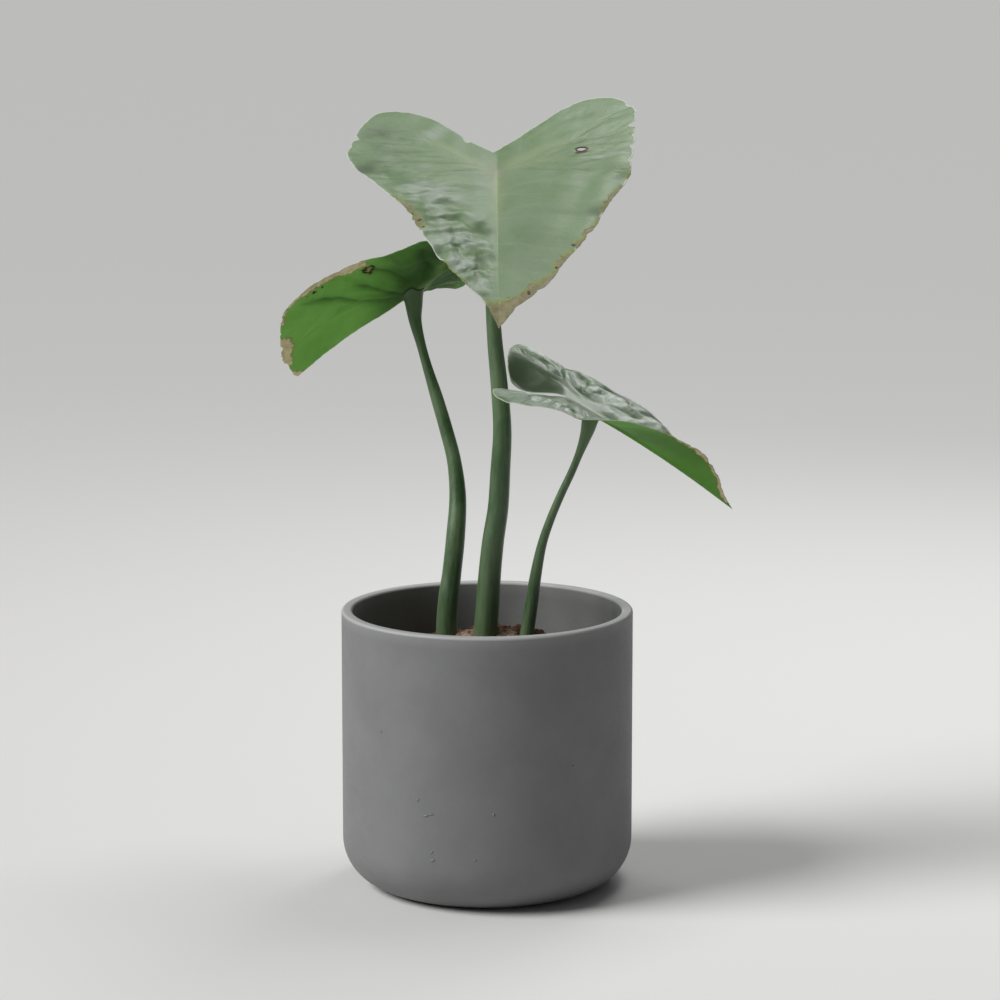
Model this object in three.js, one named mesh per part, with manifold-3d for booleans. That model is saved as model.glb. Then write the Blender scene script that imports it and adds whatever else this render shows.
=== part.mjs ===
// Potted elephant ear taro: heart-shaped leaves on long stalks, growing from a corm in a round planter.
// Millimetres, +Z up. The origin is the middle of the planter's flat underside, and +Y points away from
// the viewer.
import * as THREE from 'three';
import { mergeVertices } from 'three/addons/utils/BufferGeometryUtils.js';
import Module from 'manifold-3d';

const wasm = await Module();
wasm.setup();

// Clearance between pieces that touch, and the distance under which two vertices are one
const GAP = 0.3;
const MERGE_DISTANCE = 1e-3;

// Planter: straight round wall, soft bottom edge, rounded lip
const POT = {
  radius: 100,
  height: 192.5,
  wall: 7.6,
  floor: 9,
  bottomRound: 33,
  insideRound: 26,
  lipRound: 3.4,
  sides: 60,
};

// Soil: level well below the lip, with a low mound in the middle
const SOIL = {
  level: 152,
  moundHeight: 19.6,
  moundFlat: 40,
  moundFoot: 74,
  lumpHeight: 1.1,
  lumpsEndAt: [80, 92],
  rings: 11,
  sides: 44,
};

// Soil lumps: two bent waves, each [radians a mm in X, the same in Y, depth of the bend, radians a mm of it]
const LUMP_WAVES = [[0.2, 0.03, 1.3, 0.13], [-0.04, 0.23, 1.7, 0.11]];

// Corm: [radius, height] down its side, from the crown that shows above the soil to the buried base
const CORM_PROFILE = [
  [0, 177], [12, 176.4], [20, 174.4], [27, 169], [33, 162],
  [36, 153], [35, 141], [28, 124], [15, 112], [0, 109],
];
const CORM_MIDDLE = 150;
const CORM_SIDES = 28;

// Leaf blades: sizes, the waves of their surface, and how finely they are split
const BLADE_THICK = 0.8;
const MIDRIB_HEIGHT = 2.4;
const LOBE_RIB_HEIGHT = 1.3;
const RIB_SPREAD = 0.045;
const MIDRIB_REACH = 170;
const WAVE_HEIGHT = 2.2;
const WAVES_GROWN_AT = 85;
const LONG_WAVE = { share: 0.6, length: 46, slant: 132, start: 0 };
const SHORT_WAVE = { share: 0.4, length: 27, slant: -82, start: 1.2 };
const MAIN_STEPS = 17;
const LOBE_STEPS = 11;
const SIDE_STEPS = [0, RIB_SPREAD, 0.22, 0.42, 0.62, 0.82, 1];
const SINUS_STEPS = [0, 0.12, 0.5, 1];

// Stalks
const STALK_SIDES = 12;
const STALK_STEPS = 26;
const HEAD_CUT_DEPTH = 60;

// Colour, roughness and metalness of each kind of piece
const FINISH = {
  pot: { color: 0x9c9c9a, roughness: 0.78, metalness: 0 },
  soil: { color: 0x4e3226, roughness: 0.95, metalness: 0 },
  corm: { color: 0x9a7f68, roughness: 0.9, metalness: 0 },
  stalk: { color: 0x3c5a34, roughness: 0.5, metalness: 0 },
  upperFace: { color: 0x6f8a62, roughness: 0.42, metalness: 0 },
  lowerFace: { color: 0x4f7f34, roughness: 0.5, metalness: 0 },
};

// A leaf's flat coordinates are [along, across]: along runs from the stalk to the tip, negative in the
// lobes, and across is positive on the leaf's own right, seen from the stalk towards the tip with the upper
// face up. pitch and heading give the midrib's course in degrees at stations along the leaf, and fold how
// far each half is bent up from it. curl is each half's further bend outwards, in degrees a 100 mm.
const CENTRE_LEAF = {
  root: [7, 0, 492],
  pitch: [[-80, -29], [0, -34], [70, -37], [150, -46]],
  heading: [[0, -90], [150, -89]],
  foldLeft: [[-80, 6], [0, 7], [150, 10]],
  foldRight: [[-80, 4], [0, 6], [150, 10]],
  curlLeft: -6,
  curlRight: -6,
  notch: [-22, 3],
  tip: [148, 0],
  right: {
    lobeVein: [[0, 0], [-10, 24], [-28, 45], [-50, 66]],
    sinus: [[-22, 3], [-32, 19], [-39, 26], [-47, 34], [-57, 46], [-62, 56], [-65, 70]],
    lobeEdge: [[-65, 70], [-62, 82], [-52, 90], [-38, 96], [-26, 99], [-12, 102], [-3, 98], [13, 88]],
    edge: [[13, 88], [28, 76], [46, 61], [56, 57], [70, 51], [94, 37], [111, 24], [128, 9], [148, 0]],
  },
  left: {
    lobeVein: [[0, 0], [-8, -26], [-26, -50], [-58, -72]],
    sinus: [[-22, 3], [-33, -11], [-45, -23], [-55, -33], [-67, -46], [-75, -57], [-79, -70]],
    lobeEdge: [
      [-79, -70], [-78, -80], [-72, -89], [-62, -95], [-46, -94], [-30, -94], [-12, -92], [10, -90],
    ],
    edge: [
      [10, -90], [36, -78], [48, -72], [69, -63], [81, -56], [95, -45], [115, -33], [130, -15], [148, 0],
    ],
  },
};

const LEFT_LEAF = {
  root: [-51, 62, 404],
  pitch: [[-110, 42], [-50, 40], [0, 38], [50, 20], [108, -18]],
  heading: [[-110, -30], [0, -30], [108, -22]],
  foldLeft: [[-40, 3], [0, 5], [60, 14]],
  foldRight: [[-100, 26], [0, 30], [60, 34]],
  curlLeft: -6,
  curlRight: -10,
  notch: [-11, 0],
  tip: [108, 0],
  right: {
    lobeVein: [[0, 0], [-24, 24], [-58, 38], [-92, 38]],
    sinus: [[-11, 0], [-25, 2], [-47, 8], [-67, 12], [-86, 15], [-107, 17]],
    lobeEdge: [
      [-107, 17], [-107, 22], [-101, 32], [-96, 43], [-82, 56], [-68, 68], [-52, 77], [-33, 77], [-17, 70],
    ],
    edge: [[-17, 70], [4, 59], [17, 48], [38, 37], [49, 31], [70, 22], [90, 11], [108, 0]],
  },
  left: {
    lobeVein: [[0, 0], [-2, -28], [-3, -52], [-6, -72]],
    sinus: [[-11, 0], [-8, -28], [-10, -56], [-14, -76]],
    lobeEdge: [[-14, -76], [-12, -85], [0, -88], [12, -84]],
    edge: [[12, -84], [42, -66], [64, -48], [84, -28], [98, -12], [108, 0]],
  },
};

const RIGHT_LEAF = {
  root: [70, -5, 330.5],
  pitch: [[-70, -18], [0, -28], [118, -37]],
  heading: [[0, -14], [118, -16]],
  foldLeft: [[-75, 14], [-45, 6], [-20, 5], [0, 6], [30, 9], [60, 12], [118, 20]],
  foldRight: [[-75, -11], [-50, -8], [-20, 1], [0, 6], [12, 10], [40, 22], [62, 34], [85, 50], [118, 62]],
  curlLeft: 0,
  curlRight: 0,
  notch: [-19, 1],
  tip: [118, 0],
  right: {
    lobeVein: [[0, 0], [-14, 20], [-30, 34], [-50, 44]],
    sinus: [[-19, 1], [-31, 20], [-44, 29], [-56, 34], [-61, 41]],
    lobeEdge: [[-61, 41], [-58, 49], [-49, 56], [-37, 61], [-20, 64], [-4, 66], [12, 66]],
    edge: [
      [12, 66], [30, 65], [40, 62], [54, 54], [67, 42], [82, 32], [91, 24], [100, 16], [106, 8], [118, 0],
    ],
  },
  left: {
    lobeVein: [[0, 0], [-16, -18], [-34, -28], [-60, -36]],
    sinus: [[-19, 1], [-36, -3], [-57, -1], [-65, -9], [-70, -20], [-73, -33]],
    lobeEdge: [[-73, -33], [-71, -46], [-57, -52], [-45, -55], [-31, -61], [-18, -64], [-4, -64], [8, -62]],
    edge: [[8, -62], [25, -55], [37, -49], [47, -42], [62, -34], [80, -23], [98, -12], [118, 0]],
  },
};

// Stalk centre lines: [x, y, z, width], from the base in the corm to just past the blade that they carry
const CENTRE_STALK = [
  [-2, 0, 168, 17], [-1, 0, 177, 16.6], [1.6, 0, 215, 15.6], [4, 0, 239, 15], [7.4, 0, 262, 14.2],
  [9, 1, 288, 13.6], [10.3, 2, 316, 12.6], [8, 4, 349, 11.6], [5.2, 6, 377, 10.4], [3.4, 8, 412, 9.2],
  [4, 9, 446, 8.4], [5.6, 7, 472, 9.6], [6.8, 3, 487, 13], [7.2, -1, 498, 14.5],
];
const LEFT_STALK = [
  [-27, 5, 158, 14.6], [-28, 6, 176, 14.6], [-26.6, 8, 198, 14.2], [-24.4, 11, 215, 13.2],
  [-21.8, 16, 240, 13], [-20.4, 24, 266, 11.6], [-23, 31, 290, 9.8], [-28.3, 38, 310, 9.3],
  [-35, 45, 332, 8.6], [-41.4, 50, 352, 6.8], [-46, 54, 368, 6.6], [-50, 58, 384, 9],
  [-51, 61, 396, 12.4], [-51.4, 63, 408, 14],
];
const RIGHT_STALK = [
  [24, -5, 158, 10], [27.4, -5, 177, 9.6], [30.6, -5, 198, 8.8], [33, -5, 215, 8],
  [37.6, -5, 238, 6.4], [43.2, -5, 255, 5.8], [50.2, -5, 272, 5.5], [57.6, -5, 288, 5.3],
  [62.4, -5, 300, 5.6], [66.4, -5, 311, 7.8], [69, -5, 320, 10.6], [71, -5, 334, 13],
];

// Points of an arc in a profile, from one angle to another in degrees, both ends included
function arc(x, y, radius, from, to, steps) {
  const points = [];
  for (let i = 0; i <= steps; i += 1) {
    const angle = THREE.MathUtils.degToRad(from + ((to - from) * i) / steps);
    points.push(new THREE.Vector2(x + radius * Math.cos(angle), y + radius * Math.sin(angle)));
  }
  return points;
}

// A solid turned about +Z from a profile that starts and ends on the axis
function turned(profile, sides) {
  return new THREE.LatheGeometry(profile, sides).rotateX(Math.PI / 2);
}

// A closed geometry as a solid for joining and cutting
function toSolid(geometry) {
  const bare = geometry.clone();
  bare.deleteAttribute('normal');
  bare.deleteAttribute('uv');
  const merged = withoutSlivers(mergeVertices(bare, MERGE_DISTANCE));
  const mesh = new wasm.Mesh({
    numProp: 3,
    vertProperties: new Float32Array(merged.attributes.position.array),
    triVerts: new Uint32Array(merged.index.array),
  });
  return new wasm.Manifold(mesh);
}

// The geometry of a joined or cut solid, without any loose scrap that a cut left
function toGeometry(solid) {
  const bodies = solid.decompose().sort((a, b) => b.volume() - a.volume());
  const mesh = bodies[0].getMesh();
  const geometry = new THREE.BufferGeometry();
  geometry.setAttribute('position', new THREE.BufferAttribute(new Float32Array(mesh.vertProperties), 3));
  geometry.setIndex(new THREE.BufferAttribute(new Uint32Array(mesh.triVerts), 1));
  geometry.computeVertexNormals();
  return geometry;
}

// A geometry from its triangles' corners, with corners that coincide merged
function fromCorners(corners) {
  const geometry = new THREE.BufferGeometry().setFromPoints(corners);
  return mergeVertices(geometry, MERGE_DISTANCE);
}

// Drops triangles that use a vertex twice, as at a blade's tip and on a turned solid's axis
function withoutSlivers(geometry) {
  const kept = [];
  const index = geometry.index.array;
  for (let i = 0; i < index.length; i += 3) {
    const [a, b, c] = [index[i], index[i + 1], index[i + 2]];
    if (a !== b && b !== c && c !== a) kept.push(a, b, c);
  }
  geometry.setIndex(kept);
  return geometry;
}

// A smooth value along a list of [station, value] pairs, level beyond both ends
function along(stations) {
  const count = stations.length;
  const slope = stations.map((_, i) => {
    const low = stations[Math.max(i - 1, 0)];
    const high = stations[Math.min(i + 1, count - 1)];
    return (high[1] - low[1]) / (high[0] - low[0]);
  });
  return (station) => {
    const x = THREE.MathUtils.clamp(station, stations[0][0], stations[count - 1][0]);
    let i = 0;
    while (i < count - 2 && x > stations[i + 1][0]) i += 1;
    const step = stations[i + 1][0] - stations[i][0];
    const t = (x - stations[i][0]) / step;
    const s = 1 - t;
    return stations[i][1] * s * s * (1 + 2 * t) + slope[i] * step * s * s * t
      + stations[i + 1][1] * t * t * (1 + 2 * s) - slope[i + 1] * step * t * t * s;
  };
}

// The map from a leaf's flat coordinates to space, counted from the point where its stalk meets it
function bladeMap(leaf) {
  const pitch = along(leaf.pitch);
  const heading = along(leaf.heading);
  const foldLeft = along(leaf.foldLeft);
  const foldRight = along(leaf.foldRight);

  function frame(station) {
    const p = THREE.MathUtils.degToRad(pitch(station));
    const h = THREE.MathUtils.degToRad(heading(station));
    const forward = new THREE.Vector3(Math.cos(p) * Math.cos(h), Math.cos(p) * Math.sin(h), Math.sin(p));
    const side = new THREE.Vector3(Math.sin(h), -Math.cos(h), 0);
    return { forward, side, up: new THREE.Vector3().crossVectors(side, forward) };
  }

  // Midrib points every millimetre, walked both ways from the stalk
  const midrib = new Map([[0, new THREE.Vector3()]]);
  for (const way of [1, -1]) {
    for (let station = way; Math.abs(station) <= MIDRIB_REACH; station += way) {
      const step = frame(station - way / 2).forward.multiplyScalar(way);
      midrib.set(station, midrib.get(station - way).clone().add(step));
    }
  }

  return (flat) => {
    const low = Math.floor(flat.x);
    const point = midrib.get(low).clone().lerp(midrib.get(low + 1), flat.x - low);
    const { side, up } = frame(flat.x);
    const right = flat.y > 0;
    const fold = THREE.MathUtils.degToRad((right ? foldRight : foldLeft)(flat.x));
    const curl = THREE.MathUtils.degToRad(right ? leaf.curlRight : leaf.curlLeft) / 100 || 1e-9;
    const width = Math.abs(flat.y);
    const out = (Math.sin(fold + curl * width) - Math.sin(fold)) / curl;
    const rise = (Math.cos(fold) - Math.cos(fold + curl * width)) / curl;
    return point.addScaledVector(side, Math.sign(flat.y) * out).addScaledVector(up, rise);
  };
}

// Low waves that grow with the distance from the veins, the same on both faces
function ripple(node) {
  const wave = ({ share, length, slant, start }, run, sideways) => (
    share * Math.sin(2 * Math.PI * (run / length + sideways / slant) + start)
  );
  const { x, y } = node.flat;
  const growth = Math.min(node.distance / WAVES_GROWN_AT, 1) ** 2;
  return WAVE_HEIGHT * growth * (wave(LONG_WAVE, x, y) + wave(SHORT_WAVE, y, x));
}

// One sector of a blade in flat coordinates: rows run from a vein to the blade's edge
function sector(vein, edge, steps, reaches) {
  const curves = [vein, edge].map((points) => {
    const flat = points.map(([x, y]) => new THREE.Vector3(x, y, 0));
    return new THREE.CatmullRomCurve3(flat, false, 'centripetal').getSpacedPoints(steps);
  });
  const rows = [];
  for (let i = 0; i <= steps; i += 1) {
    const [inner, outer] = [curves[0][i], curves[1][i]];
    const width = inner.distanceTo(outer);
    rows.push(reaches.map((reach) => ({
      flat: inner.clone().lerp(outer, reach),
      onVein: reach === 0,
      distance: reach * width,
      progress: i / steps,
    })));
  }
  return rows;
}

// A closed blade between two faces, both split into the same triangles. offsets(point, normal, node, face)
// gives a face's point from the point on the middle surface.
function bladeSolid(leaf, offsets) {
  const map = bladeMap(leaf);
  const sectors = [];
  for (const [name, turn] of [['right', 1], ['left', -1]]) {
    const half = leaf[name];
    const lobeVein = [...half.lobeVein, half.lobeEdge[0]];
    const fromShoulder = [...half.lobeEdge].reverse();
    sectors.push([sector([[0, 0], leaf.tip], half.edge, MAIN_STEPS, SIDE_STEPS), turn]);
    sectors.push([sector(lobeVein, fromShoulder, LOBE_STEPS, SIDE_STEPS), -turn]);
    sectors.push([sector(lobeVein, half.sinus, LOBE_STEPS, SINUS_STEPS), turn]);
  }

  function facePoint(node, face) {
    const step = 0.5;
    const { x, y } = node.flat;
    const sideways = y < 0 ? -step : step;
    const here = map(node.flat);
    const ahead = map(new THREE.Vector3(x + step, y, 0)).sub(here);
    const across = map(new THREE.Vector3(x, y + sideways, 0)).sub(here).multiplyScalar(Math.sign(sideways));
    const normal = Math.abs(y) < 1e-6
      ? map(new THREE.Vector3(x, step, 0)).sub(map(new THREE.Vector3(x, -step, 0))).cross(ahead).normalize()
      : across.cross(ahead).normalize();
    return offsets(here, normal, node, face);
  }

  const corners = [];
  function quad(a, b, c, d, flip) {
    for (const triangle of [[a, b, c], [a, c, d]]) {
      corners.push(...(flip ? [triangle[0], triangle[2], triangle[1]] : triangle));
    }
  }
  for (const [rows, turn] of sectors) {
    for (const face of ['upper', 'lower']) {
      const flip = (turn > 0) === (face === 'upper');
      for (let i = 0; i + 1 < rows.length; i += 1) {
        for (let j = 0; j + 1 < rows[i].length; j += 1) {
          const nodes = [rows[i][j], rows[i + 1][j], rows[i + 1][j + 1], rows[i][j + 1]];
          quad(...nodes.map((node) => facePoint(node, face)), flip);
        }
      }
    }
    for (let i = 0; i + 1 < rows.length; i += 1) {
      const [here, next] = [rows[i].at(-1), rows[i + 1].at(-1)];
      const upper = [facePoint(here, 'upper'), facePoint(next, 'upper')];
      const lower = [facePoint(here, 'lower'), facePoint(next, 'lower')];
      quad(upper[0], upper[1], lower[1], lower[0], turn > 0);
    }
  }
  return withoutSlivers(fromCorners(corners));
}

// How far the ribs stand out of the lower face: most at the stalk, none between the veins
function ribAt(node) {
  if (!node.onVein) return 0;
  if (Math.abs(node.flat.y) < 1e-6) return MIDRIB_HEIGHT * (1 - node.progress);
  return LOBE_RIB_HEIGHT * (1 - node.progress);
}

function leafGeometry(leaf) {
  const geometry = bladeSolid(leaf, (here, normal, node, face) => {
    const offset = face === 'upper' ? BLADE_THICK / 2 : -BLADE_THICK / 2 - ribAt(node);
    return here.clone().addScaledVector(normal, offset + ripple(node));
  });
  geometry.computeVertexNormals();
  return geometry;
}

// The space above a blade's lower face, less the gap: what a stalk's head is cut to
function aboveLeaf(leaf) {
  const lift = new THREE.Vector3(0, 0, HEAD_CUT_DEPTH);
  return toSolid(bladeSolid(leaf, (here, normal, node, face) => {
    const offset = -BLADE_THICK / 2 - ribAt(node) - GAP;
    const low = here.clone().addScaledVector(normal, offset + ripple(node));
    return face === 'upper' ? low.add(lift) : low;
  }).translate(...leaf.root));
}

// A stalk: round sections square to its centre line, each grown by an allowance
function stalkSolid(stations, allowance) {
  const points = stations.map(([x, y, z]) => new THREE.Vector3(x, y, z));
  const curve = new THREE.CatmullRomCurve3(points, false, 'centripetal');
  const width = along(stations.map((station, i) => [i / (stations.length - 1), station[3]]));
  const rings = [];
  for (let i = 0; i <= STALK_STEPS; i += 1) {
    const t = i / STALK_STEPS;
    const centre = curve.getPoint(t);
    const tangent = curve.getTangent(t);
    if (i === 0) centre.addScaledVector(tangent, -allowance);
    const sideways = new THREE.Vector3(0, 1, 0).cross(tangent).normalize();
    const depth = new THREE.Vector3().crossVectors(tangent, sideways);
    const radius = width(t) / 2 + allowance;
    const ring = [];
    for (let j = 0; j < STALK_SIDES; j += 1) {
      const angle = (2 * Math.PI * j) / STALK_SIDES;
      const point = centre.clone().addScaledVector(sideways, radius * Math.cos(angle));
      ring.push(point.addScaledVector(depth, radius * Math.sin(angle)));
    }
    rings.push({ centre, ring });
  }
  const corners = [];
  for (let j = 0; j < STALK_SIDES; j += 1) {
    const next = (j + 1) % STALK_SIDES;
    const [first, last] = [rings[0], rings.at(-1)];
    corners.push(first.centre, first.ring[next], first.ring[j], last.centre, last.ring[j], last.ring[next]);
    for (let i = 0; i < STALK_STEPS; i += 1) {
      const [low, high] = [rings[i].ring, rings[i + 1].ring];
      corners.push(low[j], low[next], high[next], low[j], high[next], high[j]);
    }
  }
  return toSolid(fromCorners(corners));
}

// The planter's wall and floor in one turned profile
function potGeometry() {
  const inner = POT.radius - POT.wall;
  const profile = [
    new THREE.Vector2(0, 0),
    ...arc(POT.radius - POT.bottomRound, POT.bottomRound, POT.bottomRound, -90, 0, 7),
    ...arc(POT.radius - POT.lipRound, POT.height - POT.lipRound, POT.lipRound, 0, 90, 3),
    ...arc(inner + POT.lipRound, POT.height - POT.lipRound, POT.lipRound, 90, 180, 3),
    ...arc(inner - POT.insideRound, POT.floor + POT.insideRound, POT.insideRound, 0, -90, 5),
    new THREE.Vector2(0, POT.floor),
  ];
  return turned(profile, POT.sides);
}

// Height of the soil's surface, with lumps that fade out at the planter's wall
function soilHeight(x, y) {
  const radius = Math.hypot(x, y);
  const mound = SOIL.moundHeight * (1 - THREE.MathUtils.smoothstep(radius, SOIL.moundFlat, SOIL.moundFoot));
  const fade = 1 - THREE.MathUtils.smoothstep(radius, ...SOIL.lumpsEndAt);
  const lumps = LUMP_WAVES.reduce((sum, [runX, runY, bend, bendRun]) => (
    sum + Math.sin(x * runX + y * runY + bend * Math.sin((x + y) * bendRun))
  ), 0);
  return SOIL.level + mound + SOIL.lumpHeight * lumps * fade;
}

// The soil fills the planter to its level and stands in a mound in the middle
function soilSolid() {
  const outer = POT.radius - POT.wall - GAP;
  const round = POT.insideRound - GAP;
  const centre = POT.radius - POT.wall - POT.insideRound;
  const profile = [
    new THREE.Vector2(0, POT.floor + GAP),
    ...arc(centre, POT.floor + POT.insideRound, round, -90, 0, 5),
  ];
  for (let i = 0; i <= SOIL.rings; i += 1) {
    profile.push(new THREE.Vector2(outer * (1 - i / SOIL.rings), SOIL.level));
  }
  const geometry = turned(profile, SOIL.sides);
  const position = geometry.attributes.position;
  for (let i = 0; i < position.count; i += 1) {
    if (Math.abs(position.getZ(i) - SOIL.level) < 1e-3) {
      position.setZ(i, soilHeight(position.getX(i), position.getY(i)));
    }
  }
  return toSolid(geometry);
}

// The corm, grown by an allowance for the hole that it stands in
function cormSolid(allowance) {
  const points = CORM_PROFILE.map(([radius, height]) => new THREE.Vector2(radius, height)).reverse();
  const profile = new THREE.SplineCurve(points).getPoints(2 * points.length);
  const grown = profile.map((point) => {
    const radius = Math.max(point.x, 0);
    const away = new THREE.Vector2(radius, point.y - CORM_MIDDLE).normalize();
    return new THREE.Vector2(radius + allowance * away.x, point.y + allowance * away.y);
  });
  return toSolid(turned(grown, CORM_SIDES));
}

// A named mesh with a material of its own
function piece(name, geometry, finish) {
  const mesh = new THREE.Mesh(geometry, new THREE.MeshStandardMaterial(finish));
  mesh.name = name;
  return mesh;
}

const planter = new THREE.Group();
const taro = new THREE.Group();
let soil = soilSolid().subtract(cormSolid(GAP));
let corm = cormSolid(0);

// Each leaf is a group of its stalk, and its blade placed where the stalk meets it
const leaves = [
  ['centre', CENTRE_STALK, CENTRE_LEAF, FINISH.upperFace],
  ['left', LEFT_STALK, LEFT_LEAF, FINISH.lowerFace],
  ['right', RIGHT_STALK, RIGHT_LEAF, FINISH.upperFace],
];
for (const [name, stations, leaf, finish] of leaves) {
  const hole = stalkSolid(stations, GAP);
  soil = soil.subtract(hole);
  corm = corm.subtract(hole);

  const stalk = stalkSolid(stations, 0).subtract(aboveLeaf(leaf));
  const blade = piece(`leaf_${name}`, leafGeometry(leaf), finish);
  blade.position.set(...leaf.root);
  const group = new THREE.Group();
  group.add(piece(`stalk_${name}`, toGeometry(stalk), FINISH.stalk), blade);
  taro.add(group);
}

taro.add(piece('corm', toGeometry(corm), FINISH.corm));
planter.add(piece('pot', potGeometry(), FINISH.pot), piece('soil', toGeometry(soil), FINISH.soil));

const pottedPlant = new THREE.Group();
pottedPlant.add(planter, taro);

export default pottedPlant;
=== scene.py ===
"""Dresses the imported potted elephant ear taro: planter, soil, corm, stalks and blades, in a plain studio.

The guides that it shares with the part's source are in millimetres, and meshes are made in metres.
"""
import logging
import math
from dataclasses import dataclass, field
from enum import Enum
from typing import Iterable, Sequence

import bpy
import numpy as np
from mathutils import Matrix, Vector, noise
from mathutils.bvhtree import BVHTree


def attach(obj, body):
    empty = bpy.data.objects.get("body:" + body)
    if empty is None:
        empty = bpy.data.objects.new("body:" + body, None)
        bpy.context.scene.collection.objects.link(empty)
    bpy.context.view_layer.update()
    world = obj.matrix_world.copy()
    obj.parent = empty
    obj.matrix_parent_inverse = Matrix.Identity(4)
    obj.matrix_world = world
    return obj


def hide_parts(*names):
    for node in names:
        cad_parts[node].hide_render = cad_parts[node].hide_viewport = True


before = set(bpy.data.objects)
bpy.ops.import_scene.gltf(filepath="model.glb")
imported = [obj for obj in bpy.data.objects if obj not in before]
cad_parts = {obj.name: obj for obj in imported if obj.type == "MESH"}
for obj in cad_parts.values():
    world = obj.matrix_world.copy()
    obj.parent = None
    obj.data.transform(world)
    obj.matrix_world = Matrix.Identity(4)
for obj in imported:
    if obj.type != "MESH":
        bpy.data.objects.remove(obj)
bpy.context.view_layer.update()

LOG = logging.getLogger("taro")
BODY = "root"
MM = 0.001
SEED = 41

Point = tuple[float, float]
Stations = tuple[Point, ...]
Colour = tuple[float, float, float]
Socket = bpy.types.NodeSocket


class Slot(Enum):
    """The record's material slots."""

    POT = "pot"
    SOIL = "soil"
    CORM = "corm"
    STALK = "stalk"
    LEAF = "leaf"


class Sum(Enum):
    """What a math node does with its two values."""

    ADD = "ADD"
    SUBTRACT = "SUBTRACT"
    MULTIPLY = "MULTIPLY"


class Course:
    """A smooth value along a leaf or stalk, given at stations and level beyond both ends."""

    def __init__(self, stations: Sequence[Sequence[float]]) -> None:
        """Keep the stations and work out the slope at each.

        Args:
            stations: pairs of a place along the leaf and the value there.
        """
        table = np.asarray(stations, float)
        self.places = table[:, 0]
        self.values = table[:, 1]
        low = np.maximum(np.arange(len(table)) - 1, 0)
        high = np.minimum(np.arange(len(table)) + 1, len(table) - 1)
        self.slopes = (self.values[high] - self.values[low]) / (self.places[high] - self.places[low])

    def at(self, place: np.ndarray) -> np.ndarray:
        """Read the value at places.

        Args:
            place: places along the leaf.

        Returns:
            The value at each.
        """
        x = np.clip(place, self.places[0], self.places[-1])
        i = np.clip(np.searchsorted(self.places, x, side="right") - 1, 0, len(self.places) - 2)
        step = self.places[i + 1] - self.places[i]
        t = (x - self.places[i]) / step
        s = 1 - t
        start = self.values[i] * s * s * (1 + 2 * t) + self.slopes[i] * step * s * s * t
        return start + self.values[i + 1] * t * t * (1 + 2 * s) - self.slopes[i + 1] * step * t * t * s


def curve_at(points: Sequence[Sequence[float]], places: np.ndarray) -> np.ndarray:
    """Read a centripetal Catmull-Rom curve.

    Args:
        points: the points that the curve passes through.
        places: where to read it, counted in points from 0.

    Returns:
        The curve's points, one row for each place.
    """
    given = np.asarray(points, float)
    padded = np.vstack([2 * given[0] - given[1], given, 2 * given[-1] - given[-2]])
    i = np.clip(np.floor(places).astype(int), 0, len(given) - 2)
    p0, p1, p2, p3 = (padded[i + k] for k in range(4))
    d0, d1, d2 = (
        np.sqrt(np.linalg.norm(b - a, axis=1))[:, None] for a, b in ((p0, p1), (p1, p2), (p2, p3))
    )
    leave = ((p1 - p0) / d0 - (p2 - p0) / (d0 + d1) + (p2 - p1) / d1) * d1
    arrive = ((p2 - p1) / d1 - (p3 - p1) / (d1 + d2) + (p3 - p2) / d2) * d1
    t = (places - i)[:, None]
    s = 1 - t
    return p1 * s * s * (1 + 2 * t) + leave * s * s * t + p2 * t * t * (1 + 2 * s) - arrive * t * t * s


def smooth_line(points: Sequence[Sequence[float]], shares: np.ndarray) -> np.ndarray:
    """Read a centripetal Catmull-Rom curve by shares of its length.

    Args:
        points: the points that the curve passes through.
        shares: shares of its length, from 0 to 1.

    Returns:
        The curve's points, one row for each share.
    """
    steps_between_points = 30
    count = (len(points) - 1) * steps_between_points + 1
    dense = curve_at(points, np.linspace(0, len(points) - 1, count))
    lengths = np.concatenate([[0], np.cumsum(np.linalg.norm(np.diff(dense, axis=0), axis=1))])
    columns = [np.interp(shares * lengths[-1], lengths, dense[:, k]) for k in range(dense.shape[1])]
    return np.column_stack(columns)


def soft_noise(points: np.ndarray, size: float, seed: float, octaves: int = 3) -> np.ndarray:
    """Read smooth noise at points.

    Args:
        points: two or three coordinates a row.
        size: about how far apart its bumps lie, in the points' unit.
        seed: picks another stretch of the noise.
        octaves: how many finer layers it has.

    Returns:
        One value for each point, from about -1 to 1.
    """
    scaled = np.asarray(points, float) / size
    if scaled.shape[1] == 2:
        scaled = np.column_stack([scaled, np.zeros(len(scaled))])
    scaled = scaled + np.array([seed, 1.7 * seed, 0.6 * seed])
    return np.array([noise.fractal(Vector(p), 0.9, 2.0, octaves) for p in scaled])


def smoothstep(low: float, high: float, value: np.ndarray) -> np.ndarray:
    """Rise smoothly from 0 at low to 1 at high."""
    t = np.clip((value - low) / (high - low), 0, 1)
    return t * t * (3 - 2 * t)


def nearest(points: np.ndarray, line: np.ndarray) -> tuple[np.ndarray, np.ndarray]:
    """Find how far points lie from a line.

    Args:
        points: the points, one a row.
        line: closely set points of the line.

    Returns:
        Each point's distance from the line, and the share along the line where it is nearest.
    """
    distance = np.full(len(points), np.inf)
    share = np.zeros(len(points))
    for number, place in enumerate(line):
        gap = np.linalg.norm(points - place, axis=1)
        closer = gap < distance
        distance[closer] = gap[closer]
        share[closer] = number / max(len(line) - 1, 1)
    return distance, share


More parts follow.
